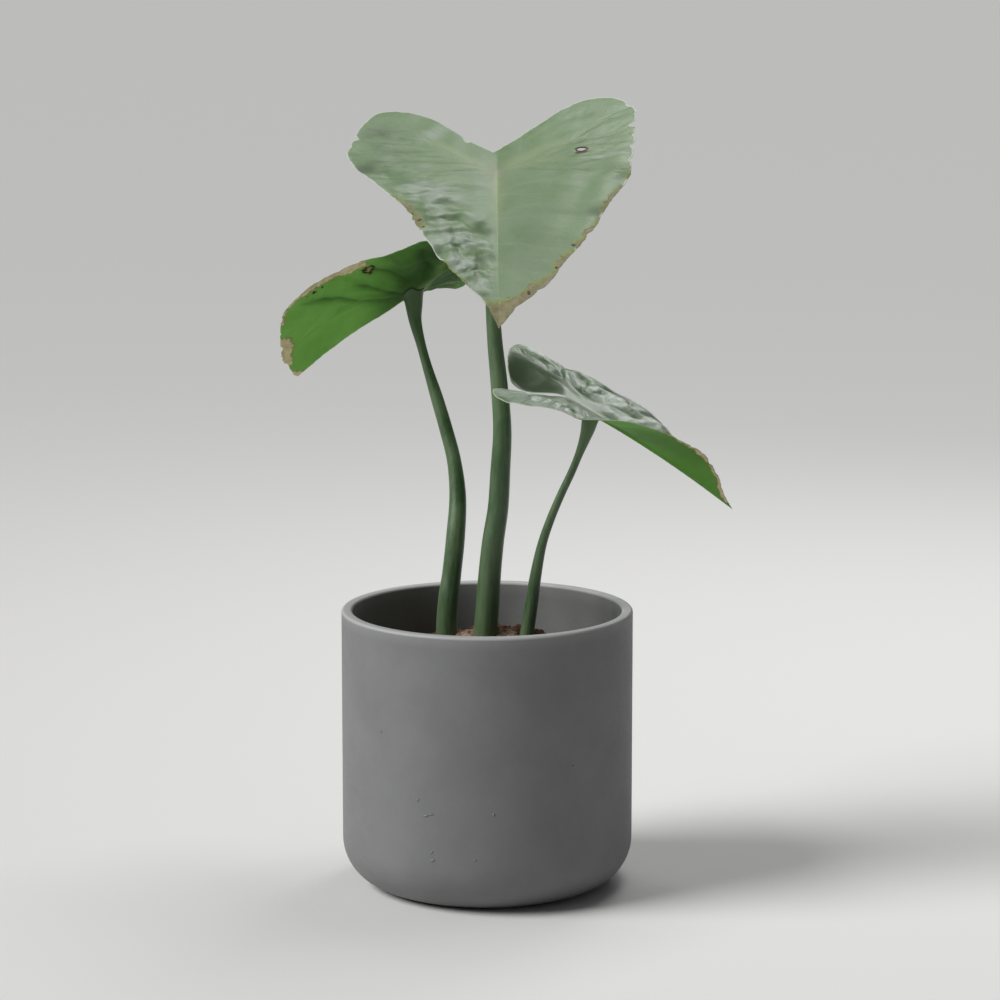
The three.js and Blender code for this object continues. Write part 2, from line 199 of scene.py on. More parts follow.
def surface_normals(points: np.ndarray, faces: np.ndarray) -> np.ndarray:
    """Work out smooth normals.

    Args:
        points: the mesh's points.
        faces: four indices a row. A triangle repeats its last.

    Returns:
        A unit normal for each point.
    """
    normals = np.zeros_like(points)
    for a, b, c in ((0, 1, 2), (0, 2, 3)):
        corners = faces[:, [a, b, c]]
        p = points[corners]
        cross = np.cross(p[:, 1] - p[:, 0], p[:, 2] - p[:, 0])
        for k in range(3):
            np.add.at(normals, corners[:, k], cross)
    return normals / np.maximum(np.linalg.norm(normals, axis=1), 1e-12)[:, None]


def mesh_piece(name: str, points: np.ndarray, faces: Iterable[Sequence[int]]) -> bpy.types.Object:
    """Make a smooth mesh object that rides on the part.

    Args:
        name: the piece's name.
        points: its points, in metres.
        faces: its faces, as rows of indices. Repeated corners are dropped.

    Returns:
        The new object.
    """
    mesh = bpy.data.meshes.new(name)
    polygons = []
    for face in faces:
        corners = list(dict.fromkeys(int(corner) for corner in face))
        if len(corners) > 2:
            polygons.append(corners)
    mesh.from_pydata([tuple(point) for point in points], [], polygons)
    mesh.validate()
    mesh.polygons.foreach_set("use_smooth", np.ones(len(mesh.polygons), bool))
    mesh.update()
    piece = bpy.data.objects.new(name, mesh)
    bpy.context.scene.collection.objects.link(piece)
    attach(piece, BODY)
    return piece


def keep_values(piece: bpy.types.Object, name: str, values: np.ndarray) -> None:
    """Keep a number or a vector at each point of a piece, for its material.

    Args:
        piece: the piece.
        name: the attribute's name.
        values: one number or three for each point.
    """
    vector = values.ndim == 2
    attribute = piece.data.attributes.new(name, "FLOAT_VECTOR" if vector else "FLOAT", "POINT")
    attribute.data.foreach_set("vector" if vector else "value", values.astype(np.float32).ravel())


class Paint:
    """A material's node tree, with short calls for the nodes that the finishes share."""

    def __init__(self, name: str) -> None:
        """Start a material with one Principled shader.

        Args:
            name: the material's name.
        """
        self.material = bpy.data.materials.new(name)
        self.material.use_nodes = True
        self.tree = self.material.node_tree
        self.tree.nodes.clear()
        self.output = self.tree.nodes.new("ShaderNodeOutputMaterial")
        self.shader = self.tree.nodes.new("ShaderNodeBsdfPrincipled")
        self.link(self.shader.outputs["BSDF"], self.output.inputs["Surface"])

    def link(self, source: Socket, target: Socket) -> None:
        """Join two sockets."""
        self.tree.links.new(source, target)

    def feed(self, target: Socket, value: "Socket | float | Colour") -> None:
        """Link a socket, or set its own value.

        Args:
            target: the input to feed.
            value: another node's output, a number or a colour.
        """
        if isinstance(value, bpy.types.NodeSocket):
            self.link(value, target)
        elif isinstance(value, tuple) and len(target.default_value) == 4:
            target.default_value = (*value, 1.0)
        else:
            target.default_value = value

    def attribute(self, name: str, vector: bool = False) -> Socket:
        """Read what keep_values kept.

        Args:
            name: the attribute's name.
            vector: whether it is a vector.

        Returns:
            The socket with it.
        """
        node = self.tree.nodes.new("ShaderNodeAttribute")
        node.attribute_name = name
        return node.outputs["Vector" if vector else "Fac"]

    def place(self) -> Socket:
        """Read the place in the row frame, in metres."""
        return self.tree.nodes.new("ShaderNodeTexCoord").outputs["Object"]

    def stretched(self, place: Socket, factors: Colour) -> Socket:
        """Scale a place along its axes.

        Args:
            place: the place.
            factors: the scale along X, Y and Z.

        Returns:
            The scaled place.
        """
        node = self.tree.nodes.new("ShaderNodeVectorMath")
        node.operation = "MULTIPLY"
        self.link(place, node.inputs[0])
        node.inputs[1].default_value = factors
        return node.outputs["Vector"]

    def reach(self, place: Socket) -> Socket:
        """Measure how far a place lies from the middle, in metres."""
        node = self.tree.nodes.new("ShaderNodeVectorMath")
        node.operation = "LENGTH"
        self.link(place, node.inputs[0])
        return node.outputs["Value"]

    def noise(self, place: Socket, size: float, detail: float = 3.0, rough: float = 0.55) -> Socket:
        """Add a noise texture.

        Args:
            place: where to read it.
            size: about how far apart its spots lie, in metres.
            detail: how many finer layers it has.
            rough: how strong those are.

        Returns:
            The socket with its value, from 0 to 1.
        """
        node = self.tree.nodes.new("ShaderNodeTexNoise")
        self.link(place, node.inputs["Vector"])
        node.inputs["Scale"].default_value = 1 / size
        node.inputs["Detail"].default_value = detail
        node.inputs["Roughness"].default_value = rough
        return node.outputs["Fac"]

    def cells(self, place: Socket, size: float) -> Socket:
        """Add a cell texture.

        Args:
            place: where to read it.
            size: about how wide a cell is, in metres.

        Returns:
            The socket with each place's distance from its cell's edge.
        """
        node = self.tree.nodes.new("ShaderNodeTexVoronoi")
        node.feature = "DISTANCE_TO_EDGE"
        self.link(place, node.inputs["Vector"])
        node.inputs["Scale"].default_value = 1 / size
        return node.outputs["Distance"]

    def sum(self, how: Sum, first: "Socket | float", second: "Socket | float") -> Socket:
        """Add a math node.

        Args:
            how: what it does with the two values.
            first: its first value.
            second: its second.

        Returns:
            The socket with the result.
        """
        node = self.tree.nodes.new("ShaderNodeMath")
        node.operation = how.value
        self.feed(node.inputs[0], first)
        self.feed(node.inputs[1], second)
        return node.outputs["Value"]

    def step(self, value: Socket, low: float, high: float, start: float = 0.0, end: float = 1.0) -> Socket:
        """Rise smoothly from start, where value is low, to end, where it is high.

        Args:
            value: what to read.
            low: where the rise starts.
            high: where it ends.
            start: the result below low.
            end: the result above high.

        Returns:
            The socket with the result.
        """
        node = self.tree.nodes.new("ShaderNodeMapRange")
        node.interpolation_type = "SMOOTHSTEP"
        self.link(value, node.inputs["Value"])
        for name, number in (("From Min", low), ("From Max", high), ("To Min", start), ("To Max", end)):
            node.inputs[name].default_value = number
        return node.outputs["Result"]

    def blend(self, share: "Socket | float", first: "Socket | Colour", second: "Socket | Colour") -> Socket:
        """Mix two colours.

        Args:
            share: the second colour's share.
            first: the first colour.
            second: the second.

        Returns:
            The socket with the mixed colour.
        """
        node = self.tree.nodes.new("ShaderNodeMix")
        node.data_type = "RGBA"
        self.feed(node.inputs[0], share)
        self.feed(node.inputs[6], first)
        self.feed(node.inputs[7], second)
        return node.outputs[2]

    def bump(self, height: Socket, depth: float, strength: float, under: "Socket | None" = None) -> Socket:
        """Add a bump node.

        Args:
            height: the relief, from 0 to 1.
            depth: how deep it is, in metres.
            strength: how much of it shows.
            under: the normal of the bump below it.

        Returns:
            The socket with the bumped normal.
        """
        node = self.tree.nodes.new("ShaderNodeBump")
        node.inputs["Strength"].default_value = strength
        node.inputs["Distance"].default_value = depth
        self.link(height, node.inputs["Height"])
        if under is not None:
            self.link(under, node.inputs["Normal"])
        return node.outputs["Normal"]

    def finish(self, **values: "Socket | float | Colour") -> bpy.types.Material:
        """Feed the Principled shader.

        Args:
            **values: its inputs, with _ for each space in their names.

        Returns:
            The material.
        """
        for name, value in values.items():
            self.feed(self.shader.inputs[name.replace("_", " ")], value)
        return self.material

    def let_through(self, share: float, colour: "Socket | Colour") -> None:
        """Let light through the surface from behind.

        Args:
            share: how much of the surface does that.
            colour: the light's colour on this side.
        """
        through = self.tree.nodes.new("ShaderNodeBsdfTranslucent")
        self.feed(through.inputs["Color"], colour)
        mixer = self.tree.nodes.new("ShaderNodeMixShader")
        mixer.inputs["Fac"].default_value = share
        self.link(self.shader.outputs["BSDF"], mixer.inputs[1])
        self.link(through.outputs["BSDF"], mixer.inputs[2])
        self.link(mixer.outputs["Shader"], self.output.inputs["Surface"])


@dataclass(frozen=True)
class CeramicFinish:
    """Matt grey ceramic with a faint mottle and a fine grain, and a painted highlight that makes the lip's
    top much paler.
    """

    grey: Colour = (0.165, 0.167, 0.167)
    pale: Colour = (0.187, 0.189, 0.189)
    # Painted highlight: the lip's top gets this much paler colour in place of the light from above.
    lip: Colour = (0.4, 0.402, 0.4)

    def material(self) -> bpy.types.Material:
        """Make the material."""
        paint = Paint("matt_ceramic")
        place = paint.place()
        mottle = paint.noise(place, 0.045, 4.0, 0.6)
        turning = paint.noise(paint.stretched(place, (0.05, 0.05, 1.0)), 0.004, 3.0, 0.6)
        grain = paint.noise(place, 0.0011, 2.0, 0.6)
        speck = paint.noise(place, 0.006, 3.0, 0.65)
        colour = paint.blend(paint.step(mottle, 0.3, 0.7), self.grey, self.pale)
        # Painted highlight on the lip's top, read from the lip attribute.
        colour = paint.blend(paint.attribute("lip"), colour, self.lip)
        normal = paint.bump(turning, 0.0006, 0.12, paint.bump(speck, 0.0008, 0.14))
        normal = paint.bump(grain, 0.0002, 0.35, normal)
        rough = paint.step(speck, 0.2, 0.8, 0.54, 0.66)
        return paint.finish(Base_Color=colour, Roughness=rough, Normal=normal, Specular_IOR_Level=0.45)


@dataclass(frozen=True)
class SoilFinish:
    """Reddish brown potting soil, with painted shade darkening its hollows and paler, drier tops that are
    partly painted light.
    """

    dark: Colour = (0.016, 0.008, 0.005)
    brown: Colour = (0.085, 0.037, 0.022)
    dry: Colour = (0.16, 0.082, 0.05)

    def material(self, name: str, spot: float) -> bpy.types.Material:
        """Make the material.

        Args:
            name: the material's name.
            spot: about how far apart its patches of colour lie, in metres.

        Returns:
            The material.
        """
        paint = Paint(name)
        place = paint.place()
        patch = paint.noise(place, spot, 4.0, 0.65)
        fine = paint.noise(place, 0.0014, 3.0, 0.7)
        # Painted shade: the dark colour lies where the patch relief is low, in the hollows.
        colour = paint.blend(paint.step(patch, 0.32, 0.62), self.dark, self.brown)
        # The paler colour lies on the fine relief's tops: partly drier crumbs, partly painted light.
        colour = paint.blend(paint.step(fine, 0.52, 0.75, 0.0, 0.75), colour, self.dry)
        normal = paint.bump(fine, 0.0012, 0.8, paint.bump(patch, 0.002, 0.4))
        return paint.finish(Base_Color=colour, Roughness=0.93, Normal=normal, Specular_IOR_Level=0.25)


@dataclass(frozen=True)
class CormFinish:
    """Tan, fibrous skin of old sheaths."""

    shade: Colour = (0.11, 0.06, 0.036)
    tan: Colour = (0.36, 0.235, 0.165)
    pale: Colour = (0.56, 0.43, 0.33)

    def material(self) -> bpy.types.Material:
        """Make the material of the corm and its fibres."""
        paint = Paint("corm_fibre")
        place = paint.place()
        patch = paint.noise(place, 0.007, 3.0, 0.6)
        strand = paint.noise(paint.stretched(place, (1.0, 1.0, 0.22)), 0.0012, 3.0, 0.6)
        colour = paint.blend(paint.step(patch, 0.3, 0.62), self.shade, self.tan)
        colour = paint.blend(paint.step(strand, 0.48, 0.7, 0.0, 0.8), colour, self.pale)
        normal = paint.bump(strand, 0.0012, 0.8)
        return paint.finish(Base_Color=colour, Roughness=0.85, Normal=normal, Specular_IOR_Level=0.3)


@dataclass(frozen=True)
class StalkFinish:
    """Smooth green leaf stalk: fine lengthways lines, paler towards the blade, painted shade at its top,
    bruised at the foot.
    """

    deep: Colour = (0.034, 0.078, 0.026)
    green: Colour = (0.085, 0.14, 0.062)
    head: Colour = (0.09, 0.165, 0.06)
    foot: Colour = (0.12, 0.125, 0.07)
    wax: Colour = (0.75, 0.85, 0.75)

    def material(self) -> bpy.types.Material:
        """Make the material, which reads each point's share of the height and place round the stalk."""
        paint = Paint("stalk_skin")
        place = paint.place()
        height = paint.attribute("height")
        lines = paint.noise(paint.stretched(place, (1.0, 1.0, 0.035)), 0.0013, 2.0, 0.5)
        cloud = paint.noise(paint.stretched(place, (1.0, 1.0, 0.3)), 0.012, 4.0, 0.6)
        speck = paint.noise(place, 0.0022, 2.0, 0.6)
        colour = paint.blend(paint.step(cloud, 0.3, 0.68), self.deep, self.green)
        colour = paint.blend(paint.step(lines, 0.45, 0.75, 0.0, 0.35), colour, self.head)
        colour = paint.blend(paint.step(height, 0.75, 0.92, 0.0, 0.4), colour, self.head)
        # Painted shade: the very top of the stalk, under the blade, is darkened towards deep green.
        colour = paint.blend(paint.step(height, 0.94, 1.0, 0.0, 0.7), colour, self.deep)
        colour = paint.blend(paint.step(height, 0.0, 0.12, 0.6, 0.0), colour, self.foot)
        colour = paint.blend(paint.step(speck, 0.68, 0.78, 0.0, 0.4), colour, self.foot)
        normal = paint.bump(lines, 0.0005, 0.35, paint.bump(cloud, 0.001, 0.15))
        rough = paint.step(cloud, 0.3, 0.7, 0.36, 0.5)
        return paint.finish(
            Base_Color=colour, Roughness=rough, Normal=normal, Specular_IOR_Level=0.5,
            Sheen_Weight=0.12, Sheen_Roughness=0.45, Sheen_Tint=self.wax,
        )


@dataclass(frozen=True)
class Withering:
    """Dead and dying parts of a blade: a yellowing fringe, a scorched line and papery tan."""

    dead: Colour = (0.145, 0.14, 0.068)
    dead_pale: Colour = (0.235, 0.225, 0.118)
    pink: Colour = (0.3, 0.235, 0.17)
    scorched: Colour = (0.07, 0.038, 0.016)
    yellowing: Colour = (0.24, 0.26, 0.09)
    papery_light: Colour = (0.55, 0.47, 0.28)
    scorching: float = 0.55
    pinkness: float = 0.5

    def over(
        self, paint: Paint, flat: Socket, living: Socket, light: Socket,
    ) -> tuple[Socket, Socket, Socket]:
        """Lay the dead parts over the living blade.

        Args:
            paint: the material.
            flat: the place on the blade laid flat.
            living: the living colour.
            light: the colour of the light that comes through the living blade.

        Returns:
            The colour, the light that comes through, and how dead the place is.
        """
        ragged = paint.noise(flat, 0.0045, 4.0, 0.7)
        cloud = paint.noise(flat, 0.012, 3.0, 0.6)
        drift = paint.sum(Sum.MULTIPLY, paint.sum(Sum.SUBTRACT, ragged, 0.5), 1.4)
        drift = paint.sum(Sum.ADD, drift, paint.sum(Sum.MULTIPLY, paint.sum(Sum.SUBTRACT, cloud, 0.52), 1.2))
        dry = paint.sum(Sum.ADD, paint.attribute("dry"), drift)
        dry = paint.sum(Sum.MULTIPLY, dry, paint.step(paint.attribute("dry"), 0.02, 0.12))
        colour = paint.blend(paint.step(dry, 0.12, 0.36), living, self.yellowing)
        edge = paint.sum(Sum.MULTIPLY, paint.step(dry, 0.28, 0.42), self.scorching)
        scorch = paint.sum(Sum.MULTIPLY, edge, paint.step(cloud, 0.4, 0.62))
        colour = paint.blend(scorch, colour, self.scorched)
        light = paint.blend(scorch, light, self.scorched)
        dead = paint.blend(paint.step(ragged, 0.35, 0.65), self.dead, self.dead_pale)
        dead = paint.blend(paint.step(cloud, 0.48, 0.7, 0.0, self.pinkness), dead, self.pink)
        papery = paint.step(dry, 0.36, 0.6)
        colour = paint.blend(papery, colour, dead)
        light = paint.blend(papery, light, self.papery_light)
        spot = paint.step(paint.attribute("spot"), 0.3, 0.7)
        return paint.blend(spot, colour, self.scorched), paint.blend(spot, light, self.scorched), dry


@dataclass(frozen=True)
class UpperFinish:
    """The blade's upper face: grey-green under a waxy bloom, with pale veins and rim, painted silvery
    reflections and painted shade.
    """

    name: str = "blade_upper"
    deep: Colour = (0.07, 0.115, 0.056)
    green: Colour = (0.14, 0.2, 0.108)
    bloom: Colour = (0.212, 0.26, 0.188)
    # Painted reflection: the pale silver laid where tone is silvery.
    painted_silver: Colour = (0.355, 0.37, 0.36)
    vein: Colour = (0.3, 0.335, 0.19)
    rim: Colour = (0.64, 0.65, 0.6)
    through: Colour = (0.5, 0.85, 0.3)
    wax: Colour = (0.88, 0.9, 0.92)
    rough: tuple[float, float] = (0.4, 0.5)
    dulling: float = 0.2
    specular: float = 0.7
    coat: float = 0.12
    coat_rough: float = 0.34
    sheen: float = 0.14
    withering: Withering = Withering()

    def material(self) -> bpy.types.Material:
        """Make the material, which reads each point's place on the blade."""
        paint = Paint(self.name)
        flat = paint.attribute("flat", vector=True)
        tone = paint.attribute("tone")
        cloud = paint.noise(flat, 0.034, 4.0, 0.6)
        grain = paint.stretched(paint.attribute("grain", vector=True), (1.0, 0.1, 1.0))
        streak = paint.noise(grain, 0.0034, 4.0, 0.6)
        web = paint.step(paint.cells(flat, 0.0028), 0.0, 0.2, 1.0, 0.0)
        colour = paint.blend(paint.step(cloud, 0.2, 0.5, 0.45, 1.0), self.deep, self.green)
        outer = paint.step(paint.reach(flat), 0.02, 0.1, 0.0, 0.5)
        bloom = paint.sum(Sum.ADD, paint.step(cloud, 0.4, 0.7, 0.0, 0.4), outer)
        colour = paint.blend(bloom, colour, self.bloom)
        colour = paint.blend(paint.step(streak, 0.5, 0.8, 0.0, 0.35), colour, self.bloom)
        colour = paint.blend(paint.sum(Sum.MULTIPLY, web, 0.05), colour, self.vein)
        # Painted reflection: where tone is below 0, the colour turns to the pale silver in patches.
        patchy = paint.step(streak, 0.3, 0.6, 0.4, 1.0)
        painted_silver_share = paint.sum(Sum.MULTIPLY, paint.step(tone, -1.0, 0.0, 1.0, 0.0), patchy)
        colour = paint.blend(painted_silver_share, colour, self.painted_silver)
        colour = paint.blend(paint.sum(Sum.MULTIPLY, paint.attribute("lateral"), 0.4), colour, self.vein)
        # Painted shade: where tone is above 0, the colour darkens to deep green.
        colour = paint.blend(paint.step(tone, 0.0, 1.0, 0.0, 0.9), colour, self.deep)
        colour = paint.blend(paint.sum(Sum.MULTIPLY, paint.attribute("vein"), 0.85), colour, self.vein)
        colour = paint.blend(paint.sum(Sum.MULTIPLY, paint.attribute("shade"), 0.75), colour, self.deep)
        colour = paint.blend(paint.step(paint.attribute("rim"), 0.4, 1.3, 0.85, 0.0), colour, self.rim)
        # Painted shade also dims the light that comes through, where tone is above 0.
        light = paint.blend(paint.step(tone, 0.0, 1.0, 0.0, 0.8), self.through, self.deep)
        colour, light, dry = self.withering.over(paint, flat, colour, light)
        normal = paint.bump(streak, 0.0004, 0.5, paint.bump(web, -0.0002, 0.25))
        rough = paint.step(cloud, 0.3, 0.7, *self.rough)
        rough = paint.sum(Sum.ADD, rough, paint.step(dry, 0.1, 0.4, 0.0, 0.3))
        rough = paint.sum(Sum.ADD, rough, paint.step(tone, 0.1, 1.0, 0.0, self.dulling))
        paint.let_through(0.22, light)
        return paint.finish(
            Base_Color=colour, Roughness=rough, Normal=normal, Specular_IOR_Level=self.specular,
            Coat_Weight=self.coat, Coat_Roughness=self.coat_rough,
            Sheen_Weight=self.sheen, Sheen_Roughness=0.4, Sheen_Tint=self.wax,
        )


SILVERY_UPPER = UpperFinish(
    name="blade_upper_silvery",
    deep=(0.026, 0.068, 0.01),
    green=(0.08, 0.12, 0.06),
    bloom=(0.155, 0.18, 0.145),
    # A paler painted reflection for the right blade's silvery patches.
    painted_silver=(0.46, 0.48, 0.465),
    rough=(0.3, 0.38),
    dulling=0.4,
    specular=0.85,
    coat=0.14,
    coat_rough=0.26,
    sheen=0.05,
)


@dataclass(frozen=True)
class UnderFinish:
    """The blade's lower face: bright satin green with raised paler veins, and painted shade near the stalk
    and in darker areas.
    """

    deep: Colour = (0.035, 0.095, 0.02)
    green: Colour = (0.125, 0.31, 0.06)
    bright: Colour = (0.17, 0.37, 0.085)
    vein: Colour = (0.25, 0.4, 0.14)
    rim: Colour = (0.34, 0.4, 0.2)
    through: Colour = (0.58, 0.95, 0.32)
    withering: Withering = Withering(
        dead=(0.56, 0.5, 0.27), dead_pale=(0.88, 0.82, 0.56), pink=(0.66, 0.53, 0.37),
        papery_light=(1.0, 0.95, 0.64), scorching=0.35, pinkness=0.3,
    )

    def material(self) -> bpy.types.Material:
        """Make the material, which reads each point's place on the blade."""
        paint = Paint("blade_under")
        flat = paint.attribute("flat", vector=True)
        tone = paint.attribute("tone")
        cloud = paint.noise(flat, 0.03, 4.0, 0.6)
        fine = paint.noise(flat, 0.0022, 3.0, 0.6)
        grain = paint.stretched(paint.attribute("grain", vector=True), (1.0, 0.08, 1.0))
        streak = paint.noise(grain, 0.005, 4.0, 0.6)
        web = paint.step(paint.cells(flat, 0.0028), 0.0, 0.2, 1.0, 0.0)
        colour = paint.blend(paint.step(cloud, 0.3, 0.65), self.green, self.bright)
        colour = paint.blend(paint.step(streak, 0.5, 0.75, 0.0, 0.3), colour, self.deep)
        colour = paint.blend(paint.sum(Sum.MULTIPLY, web, 0.1), colour, self.vein)
        # Painted shade: darker green close to the stalk's head, where the blade lies in shade.
        colour = paint.blend(paint.step(paint.reach(flat), 0.008, 0.055, 0.6, 0.0), colour, self.deep)
        colour = paint.blend(paint.sum(Sum.MULTIPLY, paint.attribute("lateral"), 0.3), colour, self.vein)
        # Painted shade: where tone is above 0, the colour darkens to deep green.
        colour = paint.blend(paint.step(tone, 0.0, 1.0, 0.0, 0.9), colour, self.deep)
        colour = paint.blend(paint.sum(Sum.MULTIPLY, paint.attribute("vein"), 0.8), colour, self.vein)
        colour = paint.blend(paint.sum(Sum.MULTIPLY, paint.attribute("shade"), 0.9), colour, self.deep)
        colour = paint.blend(paint.step(paint.attribute("rim"), 0.3, 1.0, 0.75, 0.0), colour, self.rim)
        # Painted shade also dims the light that comes through, by tone and along creases.
        light = paint.blend(paint.step(tone, 0.0, 1.0, 0.0, 0.85), self.through, self.deep)
        light = paint.blend(paint.sum(Sum.MULTIPLY, paint.attribute("shade"), 0.6), light, self.deep)
        colour, light, dry = self.withering.over(paint, flat, colour, light)
        relief = paint.sum(Sum.ADD, paint.sum(Sum.MULTIPLY, web, 0.6), fine)
        normal = paint.bump(streak, 0.0004, 0.3, paint.bump(relief, 0.0004, 0.3))
        paint.let_through(0.42, light)
        return paint.finish(
            Base_Color=colour, Roughness=paint.step(dry, 0.1, 0.4, 0.58, 0.8), Normal=normal,
            Specular_IOR_Level=0.18,
        )


@dataclass(frozen=True)
class Half:
    """One half of a blade in flat millimetres: its lobe's vein and the stretches of its margin."""

    lobe_vein: tuple[Point, ...]
    sinus: tuple[Point, ...]
    lobe_edge: tuple[Point, ...]
    edge: tuple[Point, ...]


@dataclass(frozen=True)
class Nick:
    """A cut in the margin: its place in flat millimetres, half width and depth."""

    x: float
    y: float
    half_width: float
    depth: float


@dataclass(frozen=True)
class Patch:
    """A dead patch: its middle in flat millimetres, its reach, its depth from the margin, and how dead."""

    x: float
    y: float
    reach: float
    depth: float
    strength: float = 1.0


@dataclass(frozen=True)
class Crumple:
    """A crumpled area: its middle in flat millimetres, its reach, the height and size of its folds.

    turn is the folds' direction in degrees from the leaf's length, and squeeze how much finer they are
    across it. A sharp crumple has flat facets instead, in directions of its own.
    """

    x: float
    y: float
    reach: float
    height: float
    size: float
    turn: float = 0.0
    squeeze: float = 1.0
    sharp: bool = False


@dataclass(frozen=True)
class Swell:
    """A smooth rise or hollow: its middle and radii in flat millimetres, its height and turn in degrees."""

    x: float
    y: float
    along: float
    across: float
    height: float
    turn: float = 0.0


@dataclass(frozen=True)
class Spot:
    """A dark brown spot: its middle and radii in flat millimetres, and its turn in degrees.

    ring runs from 0, where the spot is dark all over, to 1, where only its edge is.
    """

    x: float
    y: float
    along: float
    across: float
    turn: float = 0.0
    ring: float = 0.0


@dataclass(frozen=True)
class Crease:
    """A sharp fold line: its points in flat millimetres, its height, width and how dark it looks."""

    points: tuple[Point, ...]
    height: float
    width: float
    shade: float


@dataclass(frozen=True)
class Ray:
    """A pale line: its points in flat millimetres, its widths at both ends, and how strongly it shows."""

    points: tuple[Point, ...]
    wide: float
    narrow: float
    strength: float


@dataclass(frozen=True)
class Tint:
    """An oval area of painted light and shade: its middle and radii in flat millimetres, and its turn in
    degrees.

    tone runs from -1, the most silvery painted reflection, to 1, the darkest painted shade.
    """

    x: float
    y: float
    along: float
    across: float
    tone: float
    turn: float = 0.0


def oval_share(points: np.ndarray, oval: Swell | Spot | Tint) -> np.ndarray:
    """Find how far points lie from the middle of an oval.

    Args:
        points: flat places, in millimetres.
        oval: the oval.

    Returns:
        Each point's distance as a share of the oval's radius in its direction.
    """
    turn = math.radians(oval.turn)
    local = points - (oval.x, oval.y)
    along = local @ np.array([math.cos(turn), math.sin(turn)]) / oval.along
    across = local @ np.array([-math.sin(turn), math.cos(turn)]) / oval.across
    return np.hypot(along, across)


@dataclass(frozen=True)
class Hole:
    """A hole through the blade: its middle and half sizes in flat millimetres."""

    x: float
    y: float
    along: float
    across: float


@dataclass(frozen=True)
class BladeShape:
    """A blade's guides, as in the part's source, the marks of wear, and the painted light and shade, that
    only show here.
    """

    name: str
    root: tuple[float, float, float]
    pitch: Stations
    heading: Stations
    fold_left: Stations
    fold_right: Stations
    curl_left: float
    curl_right: float
    notch: Point
    tip: Point
    right: Half
    left: Half
    ragged: float = 0.35
    nicks: tuple[Nick, ...] = ()
    patches: tuple[Patch, ...] = ()
    spots: tuple[Spot, ...] = ()
    crumples: tuple[Crumple, ...] = ()
    swells: tuple[Swell, ...] = ()
    creases: tuple[Crease, ...] = ()
    rays: tuple[Ray, ...] = ()
    # tints lay painted silvery reflections and painted shade.
    tints: tuple[Tint, ...] = ()
    holes: tuple[Hole, ...] = ()
    midrib_show: float = 1.0
    lobe_vein_show: float = 0.7
    lobe_rib: float = 1.3
    lateral_show: float = 0.6
    lateral_rib: float = 0.5
    quilting: float = 0.3
    grain_relief: float = 0.32
    # foil: how strongly the folds' tops are painted paler as highlights and their hollows darker as shade.
    foil: float = 0.0


